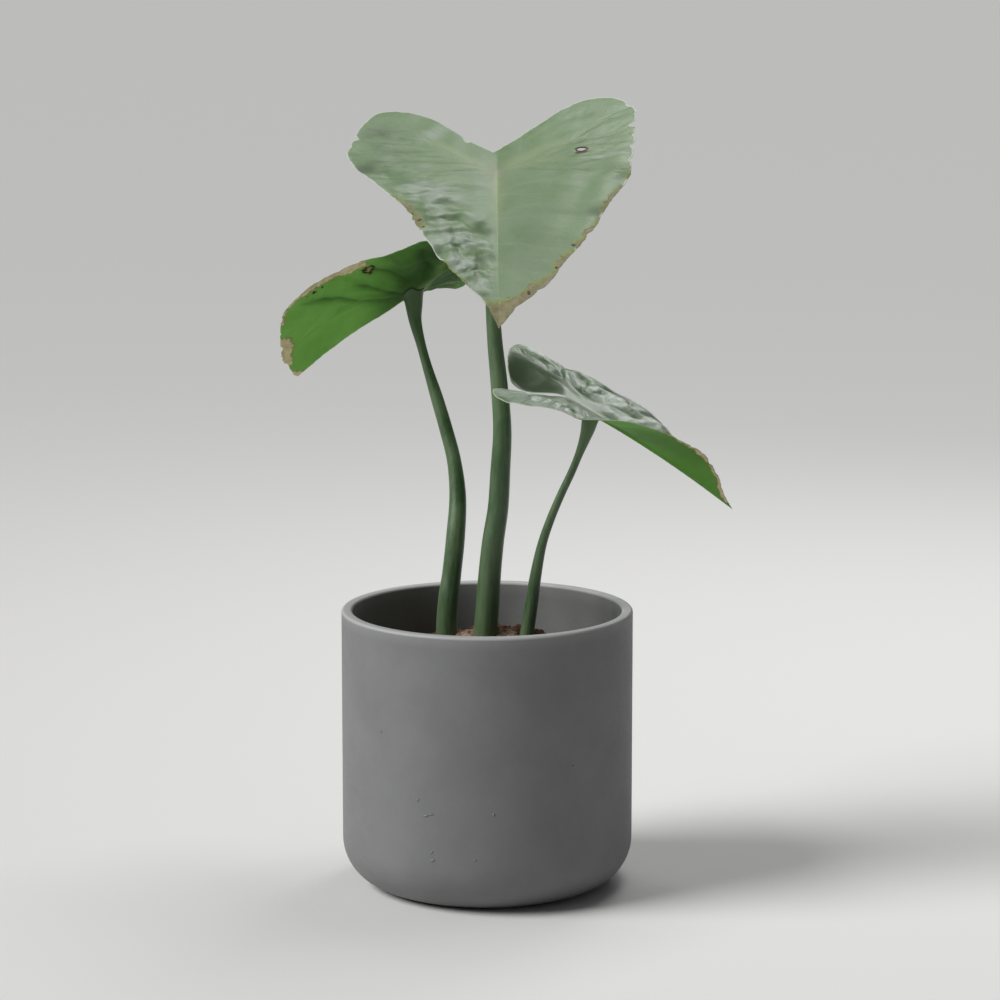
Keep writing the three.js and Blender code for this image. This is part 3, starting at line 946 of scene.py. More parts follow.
CENTRE_BLADE = BladeShape(
    name="centre",
    root=(7, 0, 492),
    pitch=((-80, -29), (0, -34), (70, -37), (150, -46)),
    heading=((0, -90), (150, -89)),
    fold_left=((-80, 6), (0, 7), (150, 10)),
    fold_right=((-80, 4), (0, 6), (150, 10)),
    curl_left=-6,
    curl_right=-6,
    notch=(-22, 3),
    tip=(148, 0),
    right=Half(
        lobe_vein=((0, 0), (-10, 24), (-28, 45), (-50, 66)),
        sinus=((-22, 3), (-32, 19), (-39, 26), (-47, 34), (-57, 46), (-62, 56), (-65, 70)),
        lobe_edge=((-65, 70), (-62, 82), (-52, 90), (-38, 96), (-26, 99), (-12, 102), (-3, 98), (13, 88)),
        edge=((13, 88), (28, 76), (46, 61), (56, 57), (70, 51), (94, 37), (111, 24), (128, 9), (148, 0)),
    ),
    left=Half(
        lobe_vein=((0, 0), (-8, -26), (-26, -50), (-58, -72)),
        sinus=((-22, 3), (-33, -11), (-45, -23), (-55, -33), (-67, -46), (-75, -57), (-79, -70)),
        lobe_edge=(
            (-79, -70), (-78, -80), (-72, -89), (-62, -95), (-46, -94), (-30, -94), (-12, -92), (10, -90),
        ),
        edge=(
            (10, -90), (36, -78), (48, -72), (69, -63), (81, -56), (95, -45), (115, -33), (130, -15),
            (148, 0),
        ),
    ),
    nicks=(
        Nick(-30.7, 98, 4, 3.2), Nick(-20, 101, 3, 1.6), Nick(-33.5, 21, 3.4, 3), Nick(-45, -95, 3, 5.5),
        Nick(-21, -94, 3.4, 2.8), Nick(-3, -92, 3, 2.6), Nick(-58, -97, 3, 1.8), Nick(73, -62, 3.5, 2),
        Nick(53, -72, 3, 1.8), Nick(52, 59, 3.4, 1.4), Nick(120, -28, 3, 1.6), Nick(132, -14, 2.6, 1.5),
        Nick(-70, -91, 2.6, 2.2), Nick(-34, -94, 2.4, 2.0),
    ),
    patches=(
        Patch(147, -3, 29, 26), Patch(122, -24, 25, 7.5, 0.85), Patch(98, -42, 20, 6, 0.66),
        Patch(76, -57, 15, 5, 0.66), Patch(57, 56, 15, 6, 0.75), Patch(42, 66, 14, 4.5, 0.66),
        Patch(6, -92, 16, 4, 0.3), Patch(-28, -96, 18, 3, 0.26), Patch(104, 30, 20, 1.8, 0.5),
        Patch(60, -68, 12, 4, 0.4), Patch(30, -79, 13, 4.5, 0.42), Patch(44, -74, 12, 4, 0.5),
    ),
    spots=(
        Spot(57, 52, 2.8, 0.8, 40), Spot(50, 57, 2.2, 0.8, 30), Spot(65, 49, 1.4, 0.8, 50),
        Spot(82, -50, 1.1, 2.0, 25), Spot(121, -20, 1.0, 1.8, 60), Spot(100, -38, 0.8, 1.9, 40),
        Spot(-14.4, -57, 1.4, 5.0, -4),
    ),
    crumples=(
        Crumple(64, 32, 46, 2.8, 27, 82, 1.9), Crumple(94, 20, 36, 2.0, 15, 64, 1.5),
        Crumple(30, 56, 44, 1.6, 26, 84, 2.5), Crumple(50, 44, 32, 0.6, 12, sharp=True),
        Crumple(88, 22, 34, 0.7, 10, sharp=True), Crumple(-26, 76, 36, 0.8, 21, 100, 2.8),
        Crumple(-44, -70, 46, 0.5, 20, 58, 3.4), Crumple(-8, -74, 34, 0.4, 16, 78, 2.8),
    ),
    swells=(
        Swell(24, 27, 28, 15, -0.7), Swell(62, 25, 32, 13, -1.3), Swell(70, 52, 60, 14, 0.8),
        Swell(48, -66, 10, 12, -0.6), Swell(89, 12, 8, 14, -1.6), Swell(61, 15, 8, 12, -1.5),
        Swell(104, 18, 9, 11, 1.5), Swell(73, 26, 10, 14, 1.7), Swell(2, 86, 9, 15, -1.4),
        Swell(30, 46, 13, 24, 1.2),
    ),
    creases=(
        Crease(((18, 74), (17, 62), (21, 46), (24, 33)), -0.7, 1.2, 0.6),
        Crease(((44, 62), (47, 50), (52, 36), (54, 25)), -0.7, 1.2, 0.6),
        Crease(((-6, 90), (-4, 77), (-5, 60), (-4, 47)), -0.5, 1.1, 0.5),
        Crease(((-24, 92), (-20, 78), (-15, 62)), -0.4, 1.1, 0.4),
        Crease(((4, 90), (6, 80), (4, 70)), -0.7, 1.6, 0.7),
        Crease(((60, 50), (62, 38), (66, 26)), 0.6, 1.3, 0.3),
        Crease(((80, 34), (76, 22), (74, 12)), -0.6, 1.2, 0.5),
        Crease(((98, 26), (100, 16), (104, 8)), -0.5, 1.1, 0.4),
        Crease(((-34, -80), (-30, -66), (-21, -37), (-14, -24)), -0.5, 1.1, 0.4),
        Crease(((-22, -86), (-16, -66), (-6, -44)), 0.4, 1.1, 0.15),
        Crease(((-10, -88), (-4, -66), (2, -44)), -0.4, 1.1, 0.25),
        Crease(((-52, -86), (-44, -68), (-28, -50)), -0.5, 1.2, 0.3),
        Crease(((10, -80), (12, -60), (12, -44)), -0.3, 1.0, 0.2),
    ),
    rays=(
        Ray(((2, 3), (-18, 30), (-42, 61)), 5.0, 2.0, 0.5),
        Ray(((0, 2), (-4, 24), (-2, 44)), 3.0, 0.8, 0.35),
        Ray(((-2, -3), (-20, -32), (-29, -49), (-42, -66)), 6.0, 2.5, 0.5),
        Ray(((0, -2), (-6, -26), (-8, -52), (-6, -74)), 4.0, 0.8, 0.4),
        Ray(((0, 0), (36, 0), (70, 0)), 6.0, 1.2, 0.5),
        Ray(((-18, -61), (-15, -76), (-13, -90)), 0.9, 0.6, 0.6),
        Ray(((92, 28), (88, 18), (82, 7)), 0.9, 0.7, 0.5),
        Ray(((20, 0), (10, 24), (14, 48)), 1.4, 0.5, 0.3),
        Ray(((22, 0), (14, -26), (16, -56)), 1.4, 0.5, 0.35),
        Ray(((46, 0), (38, -24), (42, -52)), 1.2, 0.5, 0.3),
    ),
    # Painted reflections where tone is negative, painted shade where it is positive.
    tints=(
        Tint(30, 45, 14, 26, -0.95, 10), Tint(71, 20, 10, 14, -1.0), Tint(113, 12, 10, 9, -1.0, -30),
        Tint(94, 22, 12, 8, -0.7, -30), Tint(-2, 60, 12, 22, -0.35), Tint(16, 14, 44, 18, -0.3),
        Tint(-36, 46, 10, 26, -0.5, -40), Tint(61, 13, 6, 12, 0.8), Tint(89, 11, 6, 11, 0.8),
        Tint(120, 10, 4, 6, 0.9), Tint(2, 89, 8, 11, 0.8), Tint(52, 58, 8, 5, 0.5), Tint(50, -68, 7, 14, 0.6),
        Tint(70, -22, 64, 34, 0.3), Tint(-40, 84, 9, 14, 0.4), Tint(44, 28, 5, 12, 0.45),
        Tint(-22, 70, 34, 22, 0.3), Tint(10, -50, 44, 36, 0.12),
        Tint(14, -84, 6, 10, 0.3), Tint(76, 28, 44, 24, -0.4),
    ),
    holes=(Hole(-17.6, -57, 1.7, 3.4),),
    lobe_vein_show=0.6,
    foil=0.55,
)

LEFT_BLADE = BladeShape(
    name="left",
    root=(-51, 62, 404),
    pitch=((-110, 42), (-50, 40), (0, 38), (50, 20), (108, -18)),
    heading=((-110, -30), (0, -30), (108, -22)),
    fold_left=((-40, 3), (0, 5), (60, 14)),
    fold_right=((-100, 26), (0, 30), (60, 34)),
    curl_left=-6,
    curl_right=-10,
    notch=(-11, 0),
    tip=(108, 0),
    right=Half(
        lobe_vein=((0, 0), (-24, 24), (-58, 38), (-92, 38)),
        sinus=((-11, 0), (-25, 2), (-47, 8), (-67, 12), (-86, 15), (-107, 17)),
        lobe_edge=(
            (-107, 17), (-107, 22), (-101, 32), (-96, 43), (-82, 56), (-68, 68), (-52, 77), (-33, 77),
            (-17, 70),
        ),
        edge=((-17, 70), (4, 59), (17, 48), (38, 37), (49, 31), (70, 22), (90, 11), (108, 0)),
    ),
    left=Half(
        lobe_vein=((0, 0), (-2, -28), (-3, -52), (-6, -72)),
        sinus=((-11, 0), (-8, -28), (-10, -56), (-14, -76)),
        lobe_edge=((-14, -76), (-12, -85), (0, -88), (12, -84)),
        edge=((12, -84), (42, -66), (64, -48), (84, -28), (98, -12), (108, 0)),
    ),
    nicks=(
        Nick(-100, 33, 3.4, 2), Nick(-88, 50, 3.4, 1.8), Nick(-73, 61, 3, 1.6), Nick(-104, 25, 3, 1.5),
        Nick(3, 60, 3, 1.4), Nick(-62, 71, 3, 1.2),
    ),
    patches=(
        Patch(-2, 58, 13, 10), Patch(-15, 67, 13, 5), Patch(-28, 72, 13, 4.5, 0.9),
        Patch(-42, 76, 12, 2.4, 0.8), Patch(2.1, 45.4, 6, 40, 0.36), Patch(-60, 71, 14, 4, 0.5),
        Patch(-88, 49, 17, 9), Patch(-97, 40, 12, 7), Patch(-107, 19, 8, 4.5, 0.8),
    ),
    spots=(
        Spot(2.1, 45.4, 4.7, 4.5, 0, 0.8), Spot(0.0, 48.0, 1.4, 1.8, 30), Spot(-30, 68, 1.8, 1.1, 40),
        Spot(-24, 65.5, 1.5, 0.9, 20), Spot(-36, 71, 1.3, 0.9, 60),
    ),
    crumples=(
        Crumple(0, 30, 36, 1.7, 28, 70, 2.4), Crumple(-32, 46, 40, 1.6, 32, 35, 2.6),
        Crumple(30, 20, 28, 1.6, 14, sharp=True), Crumple(-70, 36, 40, 0.8, 26, 30, 2.0),
        Crumple(20, -40, 50, 2.2, 22, 100, 2.4),
    ),
    creases=(
        Crease(((-46, 73), (-31, 51), (-27, 35), (-19, 17), (-6, 0)), 1.1, 1.7, 0.9),
        Crease(((-14, 48), (-11, 30), (-10, 18), (-4, 2)), 1.3, 1.9, 1.0),
        Crease(((-1, 52), (6, 34), (7, 20), (6, 8)), 1.2, 1.7, 1.0),
        Crease(((36, 31), (27, 20), (24, 8), (22, 2)), 1.2, 1.7, 1.0),
        Crease(((46, 28), (38, 22), (34, 12)), -0.9, 1.6, 0.8),
        Crease(((16, 52), (18, 40), (14, 26)), -0.8, 2.2, 0.6),
    ),
    rays=(
        Ray(((-4, -19), (14, -7), (29, 3), (44, 12), (58, 20)), 4.6, 3.2, 1.0),
        Ray(((0, 0), (-40, 30), (-90, 36)), 2.0, 0.6, 0.12),
    ),
    # Painted shade where tone is positive.
    tints=(
        Tint(44, 22, 52, 46, 0.65), Tint(8, 14, 30, 24, 0.15), Tint(6, -44, 60, 70, 0.85),
        Tint(-16, 4, 40, 14, 0.3, -10),
    ),
    lobe_vein_show=0.08,
    lobe_rib=0.35,
    lateral_show=0.3,
    lateral_rib=0.25,
    quilting=0.15,
    grain_relief=0.3,
)

RIGHT_BLADE = BladeShape(
    name="right",
    root=(70, -5, 330.5),
    pitch=((-70, -18), (0, -28), (118, -37)),
    heading=((0, -14), (118, -16)),
    fold_left=((-75, 14), (-45, 6), (-20, 5), (0, 6), (30, 9), (60, 12), (118, 20)),
    fold_right=(
        (-75, -11), (-50, -8), (-20, 1), (0, 6), (12, 10), (40, 22), (62, 34), (85, 50), (118, 62),
    ),
    curl_left=0,
    curl_right=0,
    notch=(-19, 1),
    tip=(118, 0),
    right=Half(
        lobe_vein=((0, 0), (-14, 20), (-30, 34), (-50, 44)),
        sinus=((-19, 1), (-31, 20), (-44, 29), (-56, 34), (-61, 41)),
        lobe_edge=((-61, 41), (-58, 49), (-49, 56), (-37, 61), (-20, 64), (-4, 66), (12, 66)),
        edge=(
            (12, 66), (30, 65), (40, 62), (54, 54), (67, 42), (82, 32), (91, 24), (100, 16), (106, 8),
            (118, 0),
        ),
    ),
    left=Half(
        lobe_vein=((0, 0), (-16, -18), (-34, -28), (-60, -36)),
        sinus=((-19, 1), (-36, -3), (-57, -1), (-65, -9), (-70, -20), (-73, -33)),
        lobe_edge=(
            (-73, -33), (-71, -46), (-57, -52), (-45, -55), (-31, -61), (-18, -64), (-4, -64), (8, -62),
        ),
        edge=((8, -62), (25, -55), (37, -49), (47, -42), (62, -34), (80, -23), (98, -12), (118, 0)),
    ),
    nicks=(
        Nick(74, 37, 2.6, 1.5), Nick(88, 26, 2.6, 1.6), Nick(100, 13, 2.4, 1.4), Nick(20, -58, 3, 1.2),
        Nick(64, 44, 2.4, 1.2), Nick(81, 32, 2.2, 1.0), Nick(95, 20, 2.2, 1.2),
    ),
    patches=(
        Patch(56, 53, 14, 1.9, 0.8), Patch(70, 40, 13, 2.6, 0.85), Patch(82, 32, 12, 3.4, 0.95),
        Patch(96, 20, 12, 2.8, 0.9), Patch(107, 8, 11, 3.4), Patch(90, -17, 18, 2, 0.8),
    ),
    crumples=(
        Crumple(-16, -36, 40, 1.1, 22, sharp=True), Crumple(18, -36, 36, 1.3, 18, sharp=True),
        Crumple(50, -26, 34, 1.4, 16, sharp=True), Crumple(-52, -50, 24, 0.6, 13, sharp=True),
        Crumple(-40, 44, 30, 2.0, 17, sharp=True), Crumple(-4, 46, 34, 2.2, 19, sharp=True),
        Crumple(30, -6, 36, 1.2, 18, sharp=True), Crumple(0, -38, 36, 0.8, 12, sharp=True),
        Crumple(36, -30, 34, 0.8, 11, sharp=True), Crumple(-20, 40, 36, 0.5, 12, sharp=True),
        Crumple(-34, -48, 26, 0.8, 9, sharp=True),
    ),
    swells=(
        Swell(-48, -1, 29, 33, -9.5), Swell(-50, -48, 26, 12, 1.2), Swell(-3, -58, 14, 12, -2.2),
        Swell(-10, -46, 9, 9, 0.9), Swell(-28, 40, 9, 16, 1.2), Swell(-6, 38, 8, 14, 1.2),
    ),
    creases=(
        Crease(((-33, -49), (-24, -38), (-19, -26)), -1.5, 1.1, 0.75),
        Crease(((-38, -48), (-33, -40), (-30, -30)), -1.2, 1.0, 0.4),
        Crease(((-19, -40), (-14, -33), (-7, -36), (-2, -50)), -1.9, 1.3, 1.0),
        Crease(((-34, -52), (-32, -40), (-27, -26)), 1.1, 1.3, 0.2),
        Crease(((-20, -56), (-16, -44), (-16, -34)), -1.0, 1.0, 0.3),
        Crease(((14, -58), (18, -44), (26, -34)), -1.0, 1.1, 0.8),
        Crease(((-2, -44), (6, -30), (18, -22)), -0.8, 0.9, 0.5),
        Crease(((16, -41), (19, -37), (24, -36)), -0.9, 1.2, 0.9),
        Crease(((40, -46), (52, -36), (70, -27)), -0.9, 1.1, 0.9),
        Crease(((20, -56), (32, -50), (46, -40), (62, -30), (76, -21)), -0.9, 1.0, 0.95),
        Crease(((-8, -61), (2, -57), (14, -57)), -1.2, 1.3, 0.9),
        Crease(((-50, -44), (-45, -37), (-44, -30)), -0.9, 1.0, 0.8),
        Crease(((-67, -42), (-60, -36), (-52, -35)), -0.9, 1.1, 0.9),
        Crease(((-36, 50), (-34, 38), (-28, 28)), -1.1, 1.1, 0.7),
        Crease(((-26, 56), (-22, 40), (-18, 24)), 0.9, 1.0, 0.1),
        Crease(((-12, 58), (-10, 44), (-14, 26)), -1.1, 1.1, 0.7),
        Crease(((2, 60), (4, 44), (-2, 26), (-8, 12)), -1.0, 1.0, 0.6),
        Crease(((-8, -12), (-22, -20), (-38, -27), (-54, -32)), -0.9, 1.0, 0.9),
        Crease(((-26, -6), (-40, -12), (-56, -16)), -0.6, 1.0, 0.7),
    ),
    # Painted reflections where tone is negative, painted shade where it is positive.
    tints=(
        Tint(-46, -15, 34, 24, 1.3), Tint(-62, -28, 10, 8, 0.8), Tint(-60, -1, 12, 5, -1.0),
        Tint(0, -59, 9, 5, 0.9), Tint(-14, -42, 16, 12, -1.6), Tint(8, -24, 34, 18, -0.7),
        Tint(36, -46, 12, 5, 0.8), Tint(-50, -50, 30, 8, -0.7), Tint(46, -20, 34, 18, -0.8),
        Tint(-44, 46, 30, 20, -1.1), Tint(-8, 46, 36, 24, -1.1), Tint(-33, 38, 6, 6, 1.6),
        Tint(-5, 42, 5, 6, 1.3), Tint(-22, 23, 5, 5, -0.8),
        Tint(-14, 11, 5, 7, 0.8), Tint(70, 34, 60, 30, 0.4),
    ),
    rays=(Ray(((-14, -10), (-34, -20), (-56, -29)), 0.9, 0.6, 0.5),),
    foil=1.05,
    lobe_vein_show=0.55,
    lobe_rib=0.9,
    lateral_show=0.08,
    lateral_rib=0.12,
    quilting=0.08,
    grain_relief=0.12,
)


@dataclass(frozen=True)
class FlatNet:
    """A blade laid flat: its points in millimetres, its faces, and what each point knows of its place."""

    points: np.ndarray
    faces: np.ndarray
    distance: np.ndarray
    reach: np.ndarray
    swell: np.ndarray
    grain: np.ndarray
    laterals: tuple[np.ndarray, ...]


@dataclass
class Blade:
    """One leaf's blade, from its flat guides to its bent, veined and worn mesh."""

    shape: BladeShape
    main_laterals: int = 6
    lobe_laterals: int = 4
    bow: float = 5.0
    thick: float = 0.62
    thin: float = 0.3
    midrib_height: float = 2.4
    shade_spread: float = 0.6
    grain_span: float = 120.0
    grain_size: float = 6.5
    grain_stretch: float = 0.13
    hub_height: float = 3.4
    hub_radius: float = 8.0
    wave_height: float = 2.2
    waves_grown_at: float = 85.0
    long_wave: tuple[float, float, float, float] = (0.6, 46, 132, 0)
    short_wave: tuple[float, float, float, float] = (0.4, 27, -82, 1.2)
    midrib_reach: float = 170.0
    bow_width: float = 90.0
    ragged_size: float = 4.5
    torn_size: float = 3.2
    torn_depth: float = 0.9
    deepest_cut: float = 0.3
    quilts_grown_at: float = 14.0
    grain_grown_at: float = 25.0
    thick_from: float = 6.0
    groove_share: float = 0.12
    groove_depth: float = 0.25
    midrib_widths: tuple[float, float] = (3.0, 0.55)
    lobe_vein_widths: tuple[float, float] = (1.9, 0.5)
    lateral_width: float = 0.75
    hole_rim: tuple[float, float] = (1.05, 1.75)
    tint_cloud: float = 16.0
    spot_cloud: float = 3.0
    side_shares: np.ndarray = field(default_factory=lambda: np.concatenate([
        [0, 0.005, 0.011, 0.019, 0.03, 0.045], np.linspace(0.065, 0.94, 38), [0.958, 0.973, 0.985, 0.994, 1],
    ]))
    sinus_shares: np.ndarray = field(default_factory=lambda: np.concatenate([
        [0, 0.015, 0.035, 0.065, 0.11], np.linspace(0.17, 0.86, 10), [0.92, 0.965, 1],
    ]))

    def row_shares(self, laterals: int) -> np.ndarray:
        """Share a vein's length into rows, closest at its side veins.

        Args:
            laterals: how many stretches its side veins make.

        Returns:
            The rows' shares, from 0 to 1.
        """
        near = [0.018, 0.042, 0.075, 0.12]
        stretch = np.concatenate([[0], near, np.linspace(0.18, 0.82, 11), 1 - np.array(near[::-1])])
        rows = [(number + stretch) / laterals for number in range(laterals)]
        return np.concatenate([*rows, [1.0]])

    def trimmed(self, inner: np.ndarray, outer: np.ndarray) -> np.ndarray:
        """Cut the margin's nicks and its ragged line.

        Args:
            inner: where the rows start on the vein.
            outer: where they end, on the smooth margin.

        Returns:
            Where they end on the worn margin.
        """
        inward = inner - outer
        length = np.linalg.norm(inward, axis=1)
        cut = self.shape.ragged * (0.6 + soft_noise(outer, self.ragged_size, 3.1))
        for patch in self.shape.patches:
            away = np.linalg.norm(outer - (patch.x, patch.y), axis=1) / patch.reach
            torn = self.torn_depth * np.abs(soft_noise(outer, self.torn_size, 8.3, 4))
            cut += (1 - smoothstep(0.6, 1.0, away)) * torn
        for nick in self.shape.nicks:
            gap = np.linalg.norm(outer - (nick.x, nick.y), axis=1) / nick.half_width
            cut += nick.depth * np.clip(1 - gap, 0, 1) ** 0.8
        share = np.clip(cut, 0, None) / np.maximum(length, 1e-6)
        return outer + inward * np.clip(share, 0, self.deepest_cut)[:, None]

    def sector(
        self, vein: Sequence[Point], margin: Sequence[Point], laterals: int, shares: np.ndarray, span: float,
    ) -> dict[str, np.ndarray | list[np.ndarray]]:
        """Lay out one sector of the blade between a vein and a stretch of margin.

        Args:
            vein: the vein's guide points.
            margin: the margin's guide points.
            laterals: how many stretches the vein's side veins make.
            shares: the columns' shares of each row.
            span: how far the grain's lines spread, in millimetres, negative in the lobe.

        Returns:
            Its grids of points, distances from the vein, shares of the row, swell between side veins, and
            places across and along the grain.
        """
        rows = self.row_shares(laterals)
        inner = smooth_line(vein, rows)
        outer = self.trimmed(inner, smooth_line(margin, rows))
        reach = np.broadcast_to(shares, (len(rows), len(shares)))
        points = inner[:, None] * (1 - reach[..., None]) + outer[:, None] * reach[..., None]
        along = np.gradient(inner, axis=0)
        along /= np.maximum(np.linalg.norm(along, axis=1), 1e-9)[:, None]
        width = np.linalg.norm(outer - inner, axis=1)
        back = self.bow * (width / self.bow_width) * np.sin(np.pi * rows)
        points = points - along[:, None] * (back[:, None] * 4 * reach * (1 - reach))[..., None]
        swell = np.broadcast_to(-np.cos(2 * np.pi * laterals * rows)[:, None], reach.shape)
        distance = reach * width[:, None]
        grain = np.stack([np.broadcast_to((span * rows)[:, None], reach.shape), distance], axis=-1)
        return {
            "points": points, "distance": distance, "reach": reach, "swell": swell, "grain": grain,
            "lines": [points[len(rows) // laterals * number] for number in range(1, laterals)],
        }

    def flat_net(self) -> FlatNet:
        """Join the six sectors into one flat net."""
        sectors = []
        for half in (self.shape.right, self.shape.left):
            vein = (*half.lobe_vein, half.lobe_edge[0])
            main, lobe, side = self.main_laterals, self.lobe_laterals, self.side_shares
            sectors.append(self.sector(((0, 0), self.shape.tip), half.edge, main, side, self.grain_span))
            sectors.append(self.sector(vein, half.lobe_edge[::-1], lobe, side, -self.grain_span))
            inner = self.sector(vein, half.sinus, lobe, self.sinus_shares, -self.grain_span)
            sectors.append({**inner, "grain": inner["grain"][..., ::-1]})
        stacked = {
            key: np.concatenate([s[key].reshape(-1, *s[key].shape[2:]) for s in sectors])
            for key in ("points", "distance", "reach", "swell", "grain")
        }
        rounded = np.round(stacked["points"], 3)
        _, first, place = np.unique(rounded, axis=0, return_index=True, return_inverse=True)
        faces, start = [], 0
        for s in sectors:
            rows, columns = s["points"].shape[:2]
            grid = place.ravel()[start:start + rows * columns].reshape(rows, columns)
            start += rows * columns
            corners = (grid[:-1, :-1], grid[1:, :-1], grid[1:, 1:], grid[:-1, 1:])
            faces.append(np.stack(corners, axis=-1).reshape(-1, 4))
        kept = {key: value[first] for key, value in stacked.items()}
        net = np.concatenate(faces)
        for k in range(4):
            same = net[:, k] == net[:, (k + 1) % 4]
            net[same] = np.roll(net[same], 2 - k, axis=1)
        area = self.signed_area(kept["points"], net)
        net = np.where((area > 0)[:, None], net[:, [0, 3, 2, 1]], net)[np.abs(area) > 1e-5]
        laterals = tuple(line for s in sectors for line in s["lines"] if len(line) == len(self.side_shares))
        return FlatNet(faces=net, laterals=laterals, **kept)

    @staticmethod
    def signed_area(points: np.ndarray, faces: np.ndarray) -> np.ndarray:
        """Work out each flat face's area, positive where its corners run anticlockwise."""
        p = points[faces]
        first, second = p[:, 2] - p[:, 0], p[:, 3] - p[:, 1]
        return (first[:, 0] * second[:, 1] - first[:, 1] * second[:, 0]) / 2

    def bent(self, flat: np.ndarray) -> np.ndarray:
        """Place flat points in space.

        Args:
            flat: along and across, in millimetres.

        Returns:
            Their places in the row frame, in millimetres, on the blade's middle surface.
        """
        step = 0.5
        stations = np.arange(-self.midrib_reach, self.midrib_reach + step, step)
        forward = self.frame_at(stations[:-1] + step / 2)[0] * step
        midrib = np.vstack([np.zeros(3), np.cumsum(forward, axis=0)])
        midrib = midrib - midrib[np.argmin(np.abs(stations))] + np.array(self.shape.root)
        along, across = flat[:, 0], flat[:, 1]
        point = np.column_stack([np.interp(along, stations, midrib[:, k]) for k in range(3)])
        _, side, up = self.frame_at(along)
        right = across > 0
        fold_right = Course(self.shape.fold_right).at(along)
        fold_left = Course(self.shape.fold_left).at(along)
        fold = np.radians(np.where(right, fold_right, fold_left))
        curl = np.radians(np.where(right, self.shape.curl_right, self.shape.curl_left)) / 100
        curl = np.where(np.abs(curl) < 1e-9, 1e-9, curl)
        width = np.abs(across)
        out = (np.sin(fold + curl * width) - np.sin(fold)) / curl
        rise = (np.cos(fold) - np.cos(fold + curl * width)) / curl
        return point + side * (np.sign(across) * out)[:, None] + up * rise[:, None]

    def frame_at(self, station: np.ndarray) -> tuple[np.ndarray, np.ndarray, np.ndarray]:
        """Find the midrib's directions.

        Args:
            station: places along the midrib.

        Returns:
            Unit vectors forward, to the leaf's right and up, one row for each place.
        """
        pitch = np.radians(Course(self.shape.pitch).at(station))
        heading = np.radians(Course(self.shape.heading).at(station))
        forward = np.column_stack([
            np.cos(pitch) * np.cos(heading), np.cos(pitch) * np.sin(heading), np.sin(pitch),
        ])
        side = np.column_stack([np.sin(heading), -np.cos(heading), np.zeros_like(heading)])
        return forward, side, np.cross(side, forward)

    def folded(self, net: FlatNet) -> tuple[np.ndarray, np.ndarray]:
        """Fold the crumpled areas.

        Args:
            net: the flat net.

        Returns:
            Each point's height in millimetres, and the same as a share of its area's folds.
        """
        height = np.zeros(len(net.points))
        share = np.zeros(len(net.points))
        for number, crumple in enumerate(self.shape.crumples):
            fold = self.crumpled(net, crumple, 5.0 + 3.7 * number)
            height += crumple.height * fold
            share += fold
        return height, share

    def waves(self, net: FlatNet) -> np.ndarray:
        """Raise the surface: low waves as on the part, quilting between side veins, swells and creases.

        Args:
            net: the flat net.

        Returns:
            Each point's height over the middle surface, in millimetres.
        """
        along, across = net.points[:, 0], net.points[:, 1]
        total = np.zeros(len(along))
        for (share, length, slant, start), run, other in (
            (self.long_wave, along, across), (self.short_wave, across, along),
        ):
            total += share * np.sin(2 * np.pi * (run / length + other / slant) + start)
        total *= self.wave_height * np.minimum(net.distance / self.waves_grown_at, 1) ** 2
        grown = smoothstep(0, self.quilts_grown_at, net.distance) * (1 - 0.5 * net.reach)
        total += self.shape.quilting * net.swell * grown
        lines = soft_noise(net.grain * (1, self.grain_stretch), self.grain_size, 7.7, 3)
        total += self.shape.grain_relief * lines * smoothstep(0, self.grain_grown_at, net.distance)
        for swell in self.shape.swells:
            total += swell.height * np.clip(1 - oval_share(net.points, swell) ** 2, 0, 1) ** 2
        for crease in self.shape.creases:
            total += crease.height * self.creased(net, crease)
        return total

    def toned(self, net: FlatNet, folds: np.ndarray) -> tuple[np.ndarray, np.ndarray]:
        """Find each point's tone: its painted light and shade.

        Args:
            net: the flat net.
            folds: how high each point lies in its folds, from -1 to 1.

        Returns:
            Each point's tone on the upper and on the lower face, from -1, the most silvery painted
            reflection, to 1, the darkest painted shade. The folds' painted highlights and shade show only on
            the upper face.
        """
        tone = np.zeros(len(net.points))
        for number, tint in enumerate(self.shape.tints):
            uneven = 0.15 * soft_noise(net.points, self.tint_cloud, 2.7 + number, 3)
            tone += tint.tone * (1 - smoothstep(0.1, 1.25, oval_share(net.points, tint) + uneven))
        # Painted light and shade: the tints, plus the folds' tops painted paler and their hollows darker by
        # the shape's foil.
        return np.clip(tone - self.shape.foil * folds, -1, 1), np.clip(tone, -1, 1)

    @staticmethod
    def creased(net: FlatNet, crease: Crease) -> np.ndarray:
        """Find how strongly a crease shows, from 0 to 1, at each point."""
        distance, share = nearest(net.points, smooth_line(crease.points, np.linspace(0, 1, 60)))
        ends = smoothstep(0, 0.25, share) * (1 - smoothstep(0.7, 1, share))
        return np.exp(-distance / crease.width) * ends

    @staticmethod
    def crumpled(net: FlatNet, crumple: Crumple, seed: float) -> np.ndarray:
        """Fold one crumpled area.

        Args:
            net: the flat net.
            crumple: the area.
            seed: picks its folds.

        Returns:
            Each point's height, from about -1 to 1.
        """
        turn = math.radians(crumple.turn)
        local = net.points - (crumple.x, crumple.y)
        window = 1 - smoothstep(0.25, 1.0, np.linalg.norm(local, axis=1) / crumple.reach)
        window = window * smoothstep(0, 9, net.distance)
        drift = soft_noise(local, 1.5 * crumple.size, seed + 20, 2)
        if crumple.sharp:
            return window * Blade.faceted(local, crumple.size, drift, int(10 * seed))
        lengthways = local @ np.array([math.cos(turn), math.sin(turn)])
        sideways = local @ np.array([-math.sin(turn), math.cos(turn)]) * crumple.squeeze
        sideways = sideways + 0.7 * crumple.size * drift
        return window * soft_noise(np.column_stack([lengthways, sideways]), crumple.size, seed, 3)

